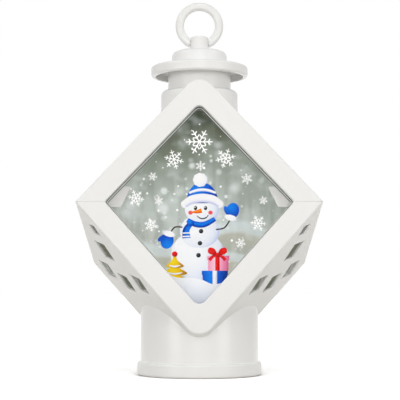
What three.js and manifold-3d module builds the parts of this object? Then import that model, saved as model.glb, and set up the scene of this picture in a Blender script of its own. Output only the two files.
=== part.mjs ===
// Small battery lantern: a diamond-shaped body on a round base, with two picture windows and a hanging ring.
// Millimetres, +Z up, the front faces -Y. The origin is the middle of the base, on the surface it stands on.
import * as THREE from 'three';
import { mergeVertices } from 'three/addons/utils/BufferGeometryUtils.js';
import Module from 'manifold-3d';

const wasm = await Module();
wasm.setup();

// Body: two moulded shells that meet at the side corners
const halfWidth = 42.65;
const halfDepth = 23.3;
const seamHeight = 61.05;
const roofRise = 44.95;
const roofRound = 6;
const chinHeight = 12.65;
const chinRound = 5.6;
const flankInset = 4.7;
const flankDrop = 21;
const edgeBevel = 0.45;
const wallThickness = 1.1;
const faceThickness = 2;

// Windows, their return and the frame behind them
const windowHalfWidth = 32.8;
const windowRise = 34.4;
const windowDrop = 36.7;
const windowTopRound = 2.2;
const windowFootRound = 3;
const windowSideRound = 1;
const windowReturn = 3.6;
const windowReturnWidth = 1.2;
const paneThickness = 1.5;
const innerFrameDepth = 3.6;
const cardThickness = 1;
const cardLift = 2.4;
const cardRibWidth = 1.2;
const cardRibHeight = 2;

// Tongues of the upper shell, seen in the window's side corners
const tongueRise = 5.65;
const tongueDrop = 1.55;
const tongueTopReach = 23.9;
const tongueBottomReach = 27.6;
const tongueThickness = 1.4;

// Slots in the four slanted walls: places as shares of the wall's edge length and of its width
const slotLong = 6.6;
const slotShort = 4.6;
const slotLean = 20;
const slotCross = -48;
const slotBevel = 0.45;
const slotSpread = 0.5;
const slotPlaceShares = [
  { along: 0.178, across: 0.175, size: 0.5 },
  { along: 0.295, across: 0.4, size: 1 },
  { along: 0.375, across: 0.765, size: 0.9 },
  { along: 0.502, across: 0.565, size: 0.95 },
  { along: 0.56, across: 0.25, size: 0.95 },
];

// Collar, neck and cap
const neckRadius = 11.45;
const neckHeight = 7.95;
const neckWall = 1.6;
const neckFloorLift = 1.75;
const neckFloorThickness = 1.5;
const collarStep = 2.55;
const collarSink = 3.4;
const collarRound = 1.6;
const brimReach = 6.2;
const brimHang = 2.35;
const brimHeight = 3.75;
const brimRise = 0.8;
const capWall = 1.6;
const capRound = 0.9;
const domeStep = 1.4;
const domeHeight = 4.85;
const domeRound = 2;
const bossRadius = 3.3;
const bossFlare = 0.2;
const bossHeight = 5.45;
const bossRound = 0.5;
const capSpigotGap = 1.1;
const capPostRadius = 3;

// Hanging ring
const ringRadius = 7.22;
const ringWireRadius = 1.54;
const ringPivotDrop = 2.25;
const ringPinRadius = 0.95;
const ringPinReach = 2.2;
const ringHoleClearance = 0.15;
const ringSteps = 28;

// Base
const baseRadius = 21.3;
const baseTaper = 0.2;
const baseWall = 1.6;
const drumReach = 4;
const drumCap = 1;
const lipOverhang = 1;
const lipHeight = 4.85;
const lipRound = 0.9;
const lipWidth = 3.2;
const baseRecess = 1;
const basePlate = 1.5;
const spigotRise = 3.1;
const spigotWall = 1.2;

// Base screws and what they go into
const baseScrewCount = 3;
const screwSeatThickness = 1.6;
const screwTipGap = 0.4;
const shellBossRadius = 2.6;
const shellBossSink = 0.4;
const shellBossCap = 1;
const coverBossRadius = 3.3;

// Screws: two sizes
const largeScrew = { head: 2.6, headHeight: 1.8, shank: 1.25, length: 8, cross: 3.2, slot: 0.7 };
const smallScrew = { head: 1.9, headHeight: 1.3, shank: 0.8, length: 8, cross: 2.3, slot: 0.5 };
const screwHoleClearance = 0.2;
const screwHeadClearance = 0.35;

// Button cells in a stack, and their contacts
const cellRadius = 5.8;
const cellHeight = 5.4;
const cellCapRadius = 4.3;
const cellCapHeight = 0.6;
const cellRound = 0.3;
const cellCount = 3;
const tubeWall = 1.2;
const tubeRise = 2;
const springHeight = 3.45;
const springRadius = 2.6;
const springWire = 0.3;
const springTurns = 4;
const springStepsPerTurn = 10;
const springSides = 6;
const contactThickness = 0.3;
const stripWidth = 2.4;
const stripToeReach = 1.5;

// Twist lid under the cells
const lidMargin = 1.7;
const lidThickness = 2.8;
const lidSlotLength = 12;
const lidSlotWidth = 1.8;
const lidSlotDepth = 0.9;
const lidLugReach = 1.5;
const lidLugHeight = 1;
const lidLugHalfAngle = 14;
const lidTwist = 45;
const skirtGap = 0.7;
const skirtWall = 1.2;
const webThickness = 1;

// Light board
const boardThickness = 1.2;
const boardEndMargin = 2.1;
const boardSideMargin = 2.9;
const boardRound = 3;
const boardPostRadius = 2;
const boardPostGap = 2.1;
const ledStripGap = 0.7;
const ledRadius = 2.4;
const ledHeight = 4.8;
const ledFlange = 0.4;
const ledFlangeHeight = 0.9;
const ledPitch = 2.54;
const ledLeg = 0.5;
const ledLegLength = 3;
const resistorGap = 0.7;
const resistorRadius = 1.1;
const resistorLength = 6.2;
const resistorSpan = 8.6;
const resistorLift = 0.4;

// Slide switch
const switchLength = 8.6;
const switchWidth = 3.6;
const switchHeight = 3.4;
const switchTravel = 2;
const sliderLength = 1.7;
const sliderWidth = 1.5;
const sliderRise = 2;
const knobLength = 3;
const knobWidth = 2.6;
const knobFoot = 0.35;
const cradleThickness = 0.9;
const cradleHeight = 2.4;
const terminalPitch = 2.5;
const terminalSize = 0.6;
const terminalHeight = 1.6;
const leadRadius = 0.55;
const leadBend = 5;
const leadRun = 2.8;
const leadHoleGap = 1.8;
const leadHoleSet = 1.4;
const leadSteps = 12;
const leadSides = 6;

// Clearances and facets
const fitGap = 0.3;
const seatGap = 0.05;
const overrun = 1;
const weld = 1e-4;
const roundSegments = 32;
const smallSegments = 16;
const innerSegments = 12;
const fineSegments = 8;
const arcSteps = 4;
const bodySteps = 6;

// Finishes
const white = { color: 0xf1f1ef, roughness: 0.32, metalness: 0 };
const clear = { color: 0xf4f8f8, roughness: 0.06, metalness: 0, transparent: true, opacity: 0.15 };
const frosted = { color: 0xa9b3ab, roughness: 0.6, metalness: 0 };
const steel = { color: 0xc3c5c7, roughness: 0.35, metalness: 1 };
const brass = { color: 0xc9a961, roughness: 0.35, metalness: 1 };
const circuit = { color: 0x2c6b45, roughness: 0.5, metalness: 0 };
const lens = { color: 0xf3ecd2, roughness: 0.15, metalness: 0, transparent: true, opacity: 0.7 };
const black = { color: 0x1b1b1d, roughness: 0.5, metalness: 0 };
const red = { color: 0xb3231f, roughness: 0.5, metalness: 0 };
const beige = { color: 0xd8c08e, roughness: 0.5, metalness: 0 };

// Heights and places of the body, its windows and its top
const flankHalfWidth = halfWidth - flankInset;
const flankHeight = seamHeight - flankDrop;
const roofPeak = seamHeight + roofRise;
const windowTop = seamHeight + windowRise;
const windowBottom = seamHeight - windowDrop;
const collarRadius = neckRadius + collarStep;
const collarTop = roofPeak - collarSink;
const neckTop = collarTop + neckHeight;
const neckBore = neckRadius - neckWall;
const neckFloorHeight = collarTop + neckFloorLift;
const capRadius = neckRadius + brimReach;
const capFoot = neckTop - brimHang;
const capEdge = capFoot + brimHeight;
const capShoulder = capEdge + brimRise;
const domeRadius = neckRadius - domeStep;
const domeTop = capShoulder + domeHeight;
const bossTop = domeTop + bossHeight;
const ringPivotHeight = bossTop - ringPivotDrop;

// Heights and places in the base, from the lid and the cells outwards and upwards
const baseFootRadius = baseRadius + baseTaper;
const lipRadius = baseFootRadius + lipOverhang;
const plateTop = baseRecess + basePlate;
const spigotOuter = baseRadius - baseWall - fitGap;
const spigotInner = spigotOuter - spigotWall;
const tubeInner = cellRadius + fitGap;
const tubeOuter = tubeInner + tubeWall;
const lidRadius = tubeOuter + lidMargin;
const lidHole = lidRadius + fitGap;
const lidTop = baseRecess + lidThickness;
const contactTop = lidTop + seatGap + contactThickness;
const skirtRadius = lidRadius + lidLugReach + skirtGap;
const webFoot = contactTop + seatGap + contactThickness + fitGap;
const webTop = webFoot + webThickness;
const stackFoot = contactTop + seatGap;
const stackTop = stackFoot + cellCount * (cellHeight + seatGap);
const tubeTop = stackTop + tubeRise;
const stripPlace = tubeOuter + fitGap;
const boardHeight = stackTop + springHeight;
const boardTop = boardHeight + boardThickness;
const boardPostPlace = tubeOuter + boardPostGap + boardPostRadius;
const ledPlace = stripPlace + contactThickness + ledStripGap;
const ledEdge = ledRadius + ledFlange;
const leadHolePlace = [ledEdge + leadHoleGap, ledPlace + leadHoleSet];
const switchFoot = plateTop + seatGap;
const switchReach = Math.sqrt(spigotInner ** 2 - (switchLength / 2) ** 2);
const switchPlace = (skirtRadius + skirtWall + switchReach) / 2;
const cardFoot = boardTop + cardLift;
const cardTop = neckFloorHeight - largeScrew.headHeight - 2 * fitGap;
const baseScrewSeat = lipHeight - screwSeatThickness;
const shellBossTop = baseScrewSeat + smallScrew.length + screwTipGap + shellBossCap;
const shellBossPlace = baseRadius - baseWall - shellBossRadius + shellBossSink;
const baseScrewAngles = Array.from({ length: baseScrewCount }, (_, i) => 90 + (360 * i) / baseScrewCount);
const screwHoleRadius = smallScrew.shank + screwHoleClearance;

// A closed solid from a three.js geometry: shared corners are merged, and flat-out triangles are dropped
function solid(geometry) {
  const bare = new THREE.BufferGeometry();
  bare.setAttribute('position', geometry.getAttribute('position').clone());
  if (geometry.index) bare.setIndex(geometry.index.clone());
  const merged = mergeVertices(bare, weld);
  const index = merged.index.array;
  const kept = [];
  for (let i = 0; i < index.length; i += 3) {
    const [a, b, c] = [index[i], index[i + 1], index[i + 2]];
    if (a !== b && b !== c && c !== a) kept.push(a, b, c);
  }
  const vertProperties = new Float32Array(merged.getAttribute('position').array);
  return new wasm.Manifold(new wasm.Mesh({ numProp: 3, vertProperties, triVerts: new Uint32Array(kept) }));
}

// A named mesh from a solid, in one of the finishes
function piece(name, body, finish) {
  const result = body.getMesh();
  const geometry = new THREE.BufferGeometry();
  geometry.setAttribute('position', new THREE.BufferAttribute(new Float32Array(result.vertProperties), 3));
  geometry.setIndex(new THREE.BufferAttribute(new Uint32Array(result.triVerts), 1));
  geometry.computeVertexNormals();
  const mesh = new THREE.Mesh(geometry, new THREE.MeshStandardMaterial(finish));
  mesh.name = name;
  return mesh;
}

// A flat face of a convex body: everything inside lies behind it
function face(x, y, z, distance) {
  const normal = new THREE.Vector3(x, y, z);
  const length = normal.length();
  return { normal: normal.divideScalar(length), distance: distance / length };
}

// The bevel between two faces, cut back by its width
function bevelFace(first, second, width) {
  const normal = first.normal.clone().add(second.normal);
  return face(...normal.toArray(), first.distance + second.distance - width);
}

// The corner where three faces meet, or null where they don't
function corner(a, b, c) {
  const bc = b.normal.clone().cross(c.normal);
  const volume = a.normal.dot(bc);
  if (Math.abs(volume) < weld) return null;
  return bc.multiplyScalar(a.distance)
    .add(c.normal.clone().cross(a.normal).multiplyScalar(b.distance))
    .add(a.normal.clone().cross(b.normal).multiplyScalar(c.distance))
    .divideScalar(volume);
}

// The convex solid that a list of faces encloses
function convexSolid(faces) {
  const corners = [];
  const behindAll = (point) => faces.every((f) => f.normal.dot(point) < f.distance + weld);
  for (let i = 0; i < faces.length; i += 1) {
    for (let j = i + 1; j < faces.length; j += 1) {
      for (let k = j + 1; k < faces.length; k += 1) {
        const point = corner(faces[i], faces[j], faces[k]);
        if (point && behindAll(point) && corners.every((other) => other.distanceTo(point) > 2 * weld)) {
          corners.push(point);
        }
      }
    }
  }
  const positions = corners.flatMap((point) => point.toArray());
  const index = [];
  for (const { normal, distance } of faces) {
    const onFace = (i) => Math.abs(normal.dot(corners[i]) - distance) < 2 * weld;
    const ring = corners.map((point, i) => i).filter(onFace);
    if (ring.length < 3) continue;
    const middle = new THREE.Vector3();
    ring.forEach((i) => middle.addScaledVector(corners[i], 1 / ring.length));
    const along = corners[ring[0]].clone().sub(middle).normalize();
    const across = normal.clone().cross(along);
    const turn = (i) => {
      const arm = corners[i].clone().sub(middle);
      return Math.atan2(arm.dot(across), arm.dot(along));
    };
    ring.sort((i, j) => turn(i) - turn(j));
    for (let i = 1; i < ring.length - 1; i += 1) index.push(ring[0], ring[i], ring[i + 1]);
  }
  const geometry = new THREE.BufferGeometry();
  geometry.setAttribute('position', new THREE.Float32BufferAttribute(positions, 3));
  geometry.setIndex(index);
  return solid(geometry);
}

// A box between two corners
function block(low, high) {
  const size = high.map((value, i) => value - low[i]);
  const geometry = new THREE.BoxGeometry(...size);
  geometry.translate(...low.map((value, i) => value + size[i] / 2));
  return solid(geometry);
}

// An upright round bar
function bar(radius, foot, top, x = 0, y = 0, segments = smallSegments) {
  const geometry = new THREE.CylinderGeometry(radius, radius, top - foot, segments);
  geometry.rotateX(Math.PI / 2);
  geometry.translate(x, y, (foot + top) / 2);
  return solid(geometry);
}

// A turned solid from a profile of [radius, height] points, listed either way round
function turned(profile, segments = roundSegments) {
  const points = profile.map(([r, z]) => new THREE.Vector2(r, z));
  if (THREE.ShapeUtils.area(points) < 0) points.reverse();
  const geometry = new THREE.LatheGeometry(points, segments);
  geometry.rotateX(Math.PI / 2);
  return solid(geometry);
}

// Points of a quarter or smaller arc of a profile, about a centre, between two angles in degrees
function arc(centreR, centreZ, radius, from, to, steps = arcSteps) {
  return Array.from({ length: steps + 1 }, (_, i) => {
    const angle = THREE.MathUtils.degToRad(from + ((to - from) * i) / steps);
    return [centreR + radius * Math.cos(angle), centreZ + radius * Math.sin(angle)];
  });
}

// An outline with round corners, from [x, y, corner radius] points in order
function roundOutline(points) {
  const shape = new THREE.Shape();
  points.forEach(([x, y, radius], i) => {
    const here = new THREE.Vector2(x, y);
    const before = new THREE.Vector2(...points.at(i - 1)).sub(here).normalize();
    const after = new THREE.Vector2(...points[(i + 1) % points.length]).sub(here).normalize();
    const halfTurn = Math.acos(before.dot(after)) / 2;
    const middle = before.clone().add(after).normalize().multiplyScalar(radius / Math.sin(halfTurn)).add(here);
    const start = before.clone().multiplyScalar(radius / Math.tan(halfTurn)).add(here);
    const end = after.clone().multiplyScalar(radius / Math.tan(halfTurn)).add(here);
    const clockwise = before.cross(after) > 0;
    if (i === 0) shape.moveTo(start.x, start.y);
    else shape.lineTo(start.x, start.y);
    if (radius > 0) {
      const startAngle = Math.atan2(start.y - middle.y, start.x - middle.x);
      const endAngle = Math.atan2(end.y - middle.y, end.x - middle.x);
      shape.absarc(middle.x, middle.y, radius, startAngle, endAngle, clockwise);
    }
  });
  shape.closePath();
  return shape;
}

// A plate that stands across the depth: its outline is seen from the front, between two depths
function frontPlate(shape, near, far) {
  const depth = far - near;
  const geometry = new THREE.ExtrudeGeometry(shape, { depth, bevelEnabled: false, curveSegments: arcSteps });
  geometry.rotateX(Math.PI / 2);
  geometry.translate(0, far, 0);
  return solid(geometry);
}

// A flat plate between two heights: its outline is seen from above
function floorPlate(shape, foot, top) {
  const depth = top - foot;
  const geometry = new THREE.ExtrudeGeometry(shape, { depth, bevelEnabled: false, curveSegments: arcSteps });
  geometry.translate(0, 0, foot);
  return solid(geometry);
}

const union = (bodies) => bodies.reduce((sum, body) => sum.add(body));
const turnAbout = (body, degrees) => body.rotate([0, 0, degrees]);
const bothEnds = (body) => body.add(turnAbout(body, 180));

// Faces of the diamond body, each moved inwards by the wall
const roofAngle = Math.atan2(roofRise, halfWidth);
const roofCentre = roofPeak - roofRound / Math.cos(roofAngle);
const chinRise = seamHeight - chinHeight;
const chinAngle = Math.atan2(chinRise, halfWidth);
const chinCentre = chinHeight + chinRound / Math.cos(chinAngle);
const wallSlope = chinRise / halfWidth;
const keelHeight = flankHeight - wallSlope * flankHalfWidth;
const flare = (chinHeight - keelHeight) / halfDepth;
const flankLean = (halfWidth - flankHalfWidth) / (seamHeight - flankHeight);

const fan = (limit, steps) => Array.from({ length: steps + 1 }, (_, i) => limit * ((2 * i) / steps - 1));

function depthFaces(inset) {
  return [1, -1].map((side) => face(0, side, 0, halfDepth - inset));
}

function roofFaces(inset) {
  return fan(roofAngle, bodySteps).map((angle) => face(
    Math.sin(angle), 0, Math.cos(angle), roofCentre * Math.cos(angle) + roofRound - inset,
  ));
}

function chinFaces(inset) {
  return [1, -1].flatMap((side) => fan(chinAngle, bodySteps).map((angle) => {
    const slope = Math.tan(angle);
    const plain = face(slope, side * flare, -1, chinRound / Math.cos(angle) - chinCentre + flare * halfDepth);
    return { normal: plain.normal, distance: plain.distance - inset };
  }));
}

function flankFaces(inset) {
  return [1, -1].map((side) => {
    const plain = face(side, 0, -flankLean, halfWidth - flankLean * seamHeight);
    return { normal: plain.normal, distance: plain.distance - inset };
  });
}

// The bevelled edges that the outside of the body has
function outsideBevels() {
  const fronts = depthFaces(0);
  const roofEdges = fronts.flatMap((front) => roofFaces(0).map((f) => bevelFace(f, front, edgeBevel)));
  const chinEdges = chinFaces(0).map((f) => {
    const front = fronts.find((candidate) => candidate.normal.y * f.normal.y > 0);
    return bevelFace(f, front, edgeBevel);
  });
  const walls = chinFaces(0).filter((f, i) => [0, bodySteps].includes(i % (bodySteps + 1)));
  const [rightFlank, leftFlank] = flankFaces(0);
  const flankEdges = walls.map((f) => bevelFace(f, f.normal.x > 0 ? rightFlank : leftFlank, edgeBevel));
  const keels = [1, -1].map((side) => {
    const [first, second] = walls.filter((f) => f.normal.x * side > 0);
    return bevelFace(first, second, edgeBevel);
  });
  return { roofEdges, lowerEdges: [...chinEdges, ...flankEdges, ...keels] };
}

const above = (height) => face(0, 0, -1, -height);
const below = (height) => face(0, 0, 1, height);
const between = (near, far) => [face(0, 1, 0, far), face(0, -1, 0, -near)];

// The space inside the walls, with a margin to the outside, between two depths and two heights
function inside(margin, near, far, foot, top) {
  const walls = [...roofFaces(margin), ...chinFaces(margin), ...flankFaces(margin)];
  return convexSolid([...walls, ...between(near, far), above(foot), below(top)]);
}

// A rib that follows the inside of the walls
function innerRib(height, near, far, foot, top) {
  const whole = inside(wallThickness - seatGap, near, far, foot, top);
  const depths = [near - overrun, far + overrun];
  return whole.subtract(inside(wallThickness + height, ...depths, foot - overrun, top + overrun));
}

function windowShape(grow = 0) {
  const upper = grow / Math.cos(Math.atan2(windowTop - seamHeight, windowHalfWidth));
  const lower = grow / Math.cos(Math.atan2(seamHeight - windowBottom, windowHalfWidth));
  const side = grow / Math.sin(Math.atan2(windowTop - seamHeight, windowHalfWidth));
  return roundOutline([
    [windowHalfWidth + side, seamHeight, windowSideRound + grow],
    [0, windowTop + upper, windowTopRound + grow],
    [-windowHalfWidth - side, seamHeight, windowSideRound + grow],
    [0, windowBottom - lower, windowFootRound + grow],
  ]);
}

// Depths of what lies behind the front face, for the front window; the back window mirrors them
const returnBack = halfDepth - windowReturn;
const paneFront = returnBack - seatGap;
const paneBack = paneFront - paneThickness;
const innerFrameFront = paneBack - fitGap;
const innerFrameBack = innerFrameFront - innerFrameDepth;

// The return round the window, and the frame behind the pane
function windowFrames() {
  const rim = frontPlate(windowShape(windowReturnWidth), -halfDepth + faceThickness - seatGap, -returnBack);
  return rim.add(inside(wallThickness - seatGap, -innerFrameFront, -innerFrameBack, chinHeight, roofPeak));
}

// What is cut out of both frames and the face
function windowOpening() {
  return frontPlate(windowShape(), -halfDepth - overrun, -innerFrameBack + overrun);
}

// The tongue at one side corner of a window, as seen from the front
function tongueShape(gap) {
  const lean = (tongueBottomReach - tongueTopReach) / (tongueRise + tongueDrop);
  const top = seamHeight + tongueRise + gap;
  const foot = seamHeight - tongueDrop - gap;
  return roundOutline([
    [-tongueTopReach + gap + lean * gap, top, edgeBevel],
    [-halfWidth - overrun, top, 0],
    [-halfWidth - overrun, foot, 0],
    [-tongueBottomReach + gap - lean * gap, foot, edgeBevel],
  ]);
}

function tongues(gap) {
  const near = -innerFrameFront - gap;
  const far = -innerFrameFront + tongueThickness + gap;
  const one = frontPlate(tongueShape(gap), near, far);
  return bothEnds(one.add(one.mirror([1, 0, 0])));
}

// The ribs that hold the backdrop card on the middle plane
function cardRibs(foot, top) {
  const near = cardThickness / 2 + fitGap;
  const rib = innerRib(cardRibHeight, near, near + cardRibWidth, foot, top);
  return bothEnds(rib);
}

// The upper shell: roof, collar and neck
function upperShell() {
  const { roofEdges } = outsideBevels();
  const roof = convexSolid([...roofFaces(0), ...depthFaces(0), ...roofEdges, above(seamHeight + seatGap)]);
  const stack = turned([
    [0, seamHeight + roofRise / 2],
    [collarRadius, seamHeight + roofRise / 2],
    ...arc(collarRadius - collarRound, collarTop - collarRound, collarRound, 0, 90),
    [neckRadius, collarTop],
    [neckRadius, neckTop],
    [0, neckTop],
  ]);
  const collarBore = collarRadius - neckWall;
  const boreTop = neckTop + overrun;
  const bore = turned([
    [0, seamHeight + roofRise / 2 - overrun],
    [collarBore, seamHeight + roofRise / 2 - overrun],
    [collarBore, collarTop - neckWall],
    [neckBore, collarTop - neckWall],
    [neckBore, boreTop],
    [0, boreTop],
  ]);
  const neckFloor = turned([
    [largeScrew.shank + screwHoleClearance, neckFloorHeight],
    [neckBore + neckWall / 2, neckFloorHeight],
    [neckBore + neckWall / 2, neckFloorHeight + neckFloorThickness],
    [largeScrew.shank + screwHoleClearance, neckFloorHeight + neckFloorThickness],
    [largeScrew.shank + screwHoleClearance, neckFloorHeight],
  ]);
  const cavity = convexSolid([
    ...roofFaces(wallThickness), ...depthFaces(faceThickness), above(seamHeight - overrun),
  ]);
  const upperHalf = block(
    [-halfWidth, -halfDepth, seamHeight + seatGap],
    [halfWidth, halfDepth, roofPeak],
  );
  const frames = bothEnds(windowFrames()).intersect(upperHalf);
  const passage = bar(collarBore, seamHeight, roofPeak, 0, 0, roundSegments);
  const openings = bothEnds(windowOpening());
  const trimmedTongues = tongues(0)
    .intersect(inside(wallThickness - seatGap, -halfDepth, halfDepth, seamHeight, roofPeak)
      .add(inside(wallThickness + fitGap, -halfDepth, halfDepth, flankHeight, seamHeight + overrun)));
  return roof.add(stack).subtract(cavity).subtract(bore)
    .add(frames.subtract(passage))
    .add(cardRibs(seamHeight + seatGap, roofPeak).subtract(passage))
    .subtract(openings)
    .add(neckFloor)
    .add(trimmedTongues);
}

// The frame of a slanted wall: a point on its outside, and the directions along and across it
const wallStart = new THREE.Vector3(-halfWidth, -halfDepth, seamHeight);
const wallEnd = new THREE.Vector3(0, -halfDepth, chinHeight);
const wallKnee = new THREE.Vector3(-flankHalfWidth, 0, flankHeight);
const wallAlong = wallEnd.clone().sub(wallStart).normalize();
const wallOut = wallAlong.clone().cross(wallKnee.clone().sub(wallStart)).normalize().negate();
const wallAcross = wallAlong.clone().cross(wallOut);
const wallLength = wallEnd.distanceTo(wallStart);
const wallWidth = wallKnee.clone().sub(wallStart).dot(wallAcross);

// One slot through the wall: bevelled at the outside, and wider towards the inside
function slotCut({ along, across, size }) {
  const direction = (degrees) => new THREE.Vector3()
    .addScaledVector(wallAlong, Math.cos(THREE.MathUtils.degToRad(degrees)))
    .addScaledVector(wallAcross, Math.sin(THREE.MathUtils.degToRad(degrees)));
  const middle = wallStart.clone()
    .addScaledVector(wallAlong, along * wallLength)
    .addScaledVector(wallAcross, across * wallWidth);
  const sides = [
    { edge: direction(slotLean), reach: slotShort },
    { edge: direction(slotCross), reach: slotLong },
  ];
  const walls = (lean, grow) => sides.flatMap(({ edge, reach }) => [1, -1].map((side) => {
    const outward = wallOut.clone().cross(edge).normalize().multiplyScalar(side);
    const normal = outward.clone().addScaledVector(wallOut, -lean);
    const start = middle.clone().addScaledVector(outward, (reach * size) / 2 + grow);
    return face(...normal.toArray(), normal.dot(start));
  }));
  const outsideFace = face(...wallOut.toArray(), wallOut.dot(middle) + overrun);
  const insideFace = face(...wallOut.clone().negate().toArray(), -wallOut.dot(middle) + windowReturn);
  const bevelFoot = face(...wallOut.clone().negate().toArray(), -wallOut.dot(middle) + slotBevel);
  const spread = convexSolid([...walls(-slotSpread, 0), outsideFace, insideFace]);
  const bevel = convexSolid([...walls(1, slotBevel), outsideFace, bevelFoot]);
  return spread.add(bevel);
}

function allSlots() {
  const quarter = union(slotPlaceShares.map(slotCut));
  const frontSlots = quarter.add(quarter.mirror([1, 0, 0]));
  return frontSlots.add(frontSlots.mirror([0, 1, 0]));
}

// A copy of a body at each base screw: one at the back, the others evenly round
function atBaseScrews(body) {
  return union(baseScrewAngles.map((angle) => turnAbout(body, angle)));
}

// The lower shell: slanted walls with slots on a round base
function lowerShell() {
  const { lowerEdges } = outsideBevels();
  const shellFoot = lipHeight + seatGap;
  const drumTop = keelHeight + wallSlope * baseRadius + drumReach;
  const hull = convexSolid([
    ...chinFaces(0), ...flankFaces(0), ...depthFaces(0), ...lowerEdges,
    below(seamHeight - seatGap), above(shellFoot),
  ]);
  const drum = turned([
    [0, shellFoot], [baseFootRadius, shellFoot], [baseRadius, drumTop], [0, drumTop],
  ]);
  const cavity = convexSolid([
    ...chinFaces(wallThickness), ...flankFaces(wallThickness), ...depthFaces(faceThickness),
    below(seamHeight + overrun), above(shellFoot - overrun),
  ]);
  const drumBore = turned([
    [0, shellFoot - overrun], [baseFootRadius - baseWall, shellFoot - overrun],
    [baseRadius - baseWall, drumTop - drumCap], [0, drumTop - drumCap],
  ]);
  const lowerHalf = block(
    [-halfWidth, -halfDepth, shellFoot],
    [halfWidth, halfDepth, seamHeight - seatGap],
  );
  const frames = bothEnds(windowFrames()).intersect(lowerHalf).subtract(tongues(fitGap));
  const bosses = atBaseScrews(bar(shellBossRadius, shellFoot, shellBossTop, shellBossPlace)
    .subtract(bar(screwHoleRadius, 0, shellBossTop - shellBossCap, shellBossPlace)));
  return hull.add(drum).subtract(cavity).subtract(drumBore)
    .add(frames)
    .add(cardRibs(cardFoot, seamHeight - seatGap))
    .subtract(bothEnds(windowOpening()))
    .subtract(allSlots())
    .add(bosses);
}

// A clear pane, cut to the inside of the walls
function pane() {
  const walls = wallThickness + fitGap;
  return inside(walls, -paneFront, -paneBack, chinHeight, roofPeak);
}

function backdropCard() {
  const half = cardThickness / 2;
  return inside(wallThickness + fitGap, -half, half, cardFoot, cardTop);
}

// The cap: boss, domed top and brim, with a spigot in the neck and a screw post
function chimneyCap() {
  const outer = neckBore - fitGap;
  const inner = outer - spigotWall;
  const brimUnder = neckTop + seatGap;
  const domeUnder = domeTop - capWall;
  const postFoot = neckFloorHeight + neckFloorThickness + seatGap;
  const spigotFoot = postFoot + capSpigotGap;
  const pilot = largeScrew.shank + screwHoleClearance;
  const cap = turned([
    [0, bossTop],
    ...arc(bossRadius - bossRound, bossTop - bossRound, bossRound, 90, 0, arcSteps / 2),
    [bossRadius + bossFlare, domeTop],
    ...arc(domeRadius - domeRound, domeTop - domeRound, domeRound, 90, 0),
    [domeRadius, capShoulder],
    ...arc(capRadius - capRound, capEdge - capRound, capRound, 90, 0, arcSteps / 2),
    ...arc(capRadius - capRound, capFoot + capRound, capRound, 0, -90, arcSteps / 2),
    [capRadius - capWall, capFoot],
    [capRadius - capWall, brimUnder],
    [outer, brimUnder],
    [outer, spigotFoot],
    [inner, spigotFoot],
    [inner, domeUnder],
    [capPostRadius, domeUnder],
    [capPostRadius, postFoot],
    [pilot, postFoot],
    [pilot, domeUnder],
    [0, domeUnder],
  ]);
  const holeRadius = ringPinRadius + ringHoleClearance;
  const holeReach = bossRadius + overrun;
  const hole = bar(holeRadius, -holeReach, holeReach)
    .rotate([0, 90, 0]).translate([0, 0, ringPivotHeight]);
  return cap.subtract(hole);
}

// The ring about its pivot: an open loop of wire with two pins that point inwards
const ringEndPlace = bossRadius + fitGap;
const ringLift = Math.sqrt(ringRadius ** 2 - bossRadius ** 2);

class RingCurve extends THREE.Curve {
  getPoint(t, target = new THREE.Vector3()) {
    const open = Math.asin((bossRadius - overrun) / ringRadius);
    const angle = -Math.PI / 2 + open + t * 2 * (Math.PI - open);
    return target.set(ringRadius * Math.cos(angle), 0, ringLift + ringRadius * Math.sin(angle));
  }
}

function hangingRing() {
  const section = new THREE.Shape().absarc(0, 0, ringWireRadius, 0, 2 * Math.PI);
  const loop = solid(new THREE.ExtrudeGeometry(section, {
    steps: ringSteps, bevelEnabled: false, curveSegments: bodySteps, extrudePath: new RingCurve(),
  }));
  const gap = block(
    [-ringEndPlace, -bossRadius, -bossRadius],
    [ringEndPlace, bossRadius, ringLift - ringWireRadius],
  );
  const pin = bar(ringPinRadius, ringEndPlace - ringPinReach, ringEndPlace + ringWireRadius).rotate([0, 90, 0]);
  return loop.subtract(gap).add(pin).add(pin.mirror([1, 0, 0]));
}

// A screw with its head's seat at the origin, the shank up and the head below it
function screw({ head, headHeight, shank, length, cross, slot }) {
  const body = turned([
    [0, -headHeight],
    [head / 2, -headHeight],
    ...arc(head - headHeight / 2, -headHeight / 2, headHeight / 2, -90, 0, arcSteps / 2),
    [head, 0], [shank, 0], [shank, length - shank], [shank / 2, length], [0, length],
  ], fineSegments);
  const recess = block([-cross / 2, -slot / 2, -headHeight - overrun], [cross / 2, slot / 2, -headHeight / 2]);
  return body.subtract(recess).subtract(turnAbout(recess, 90));
}

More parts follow.
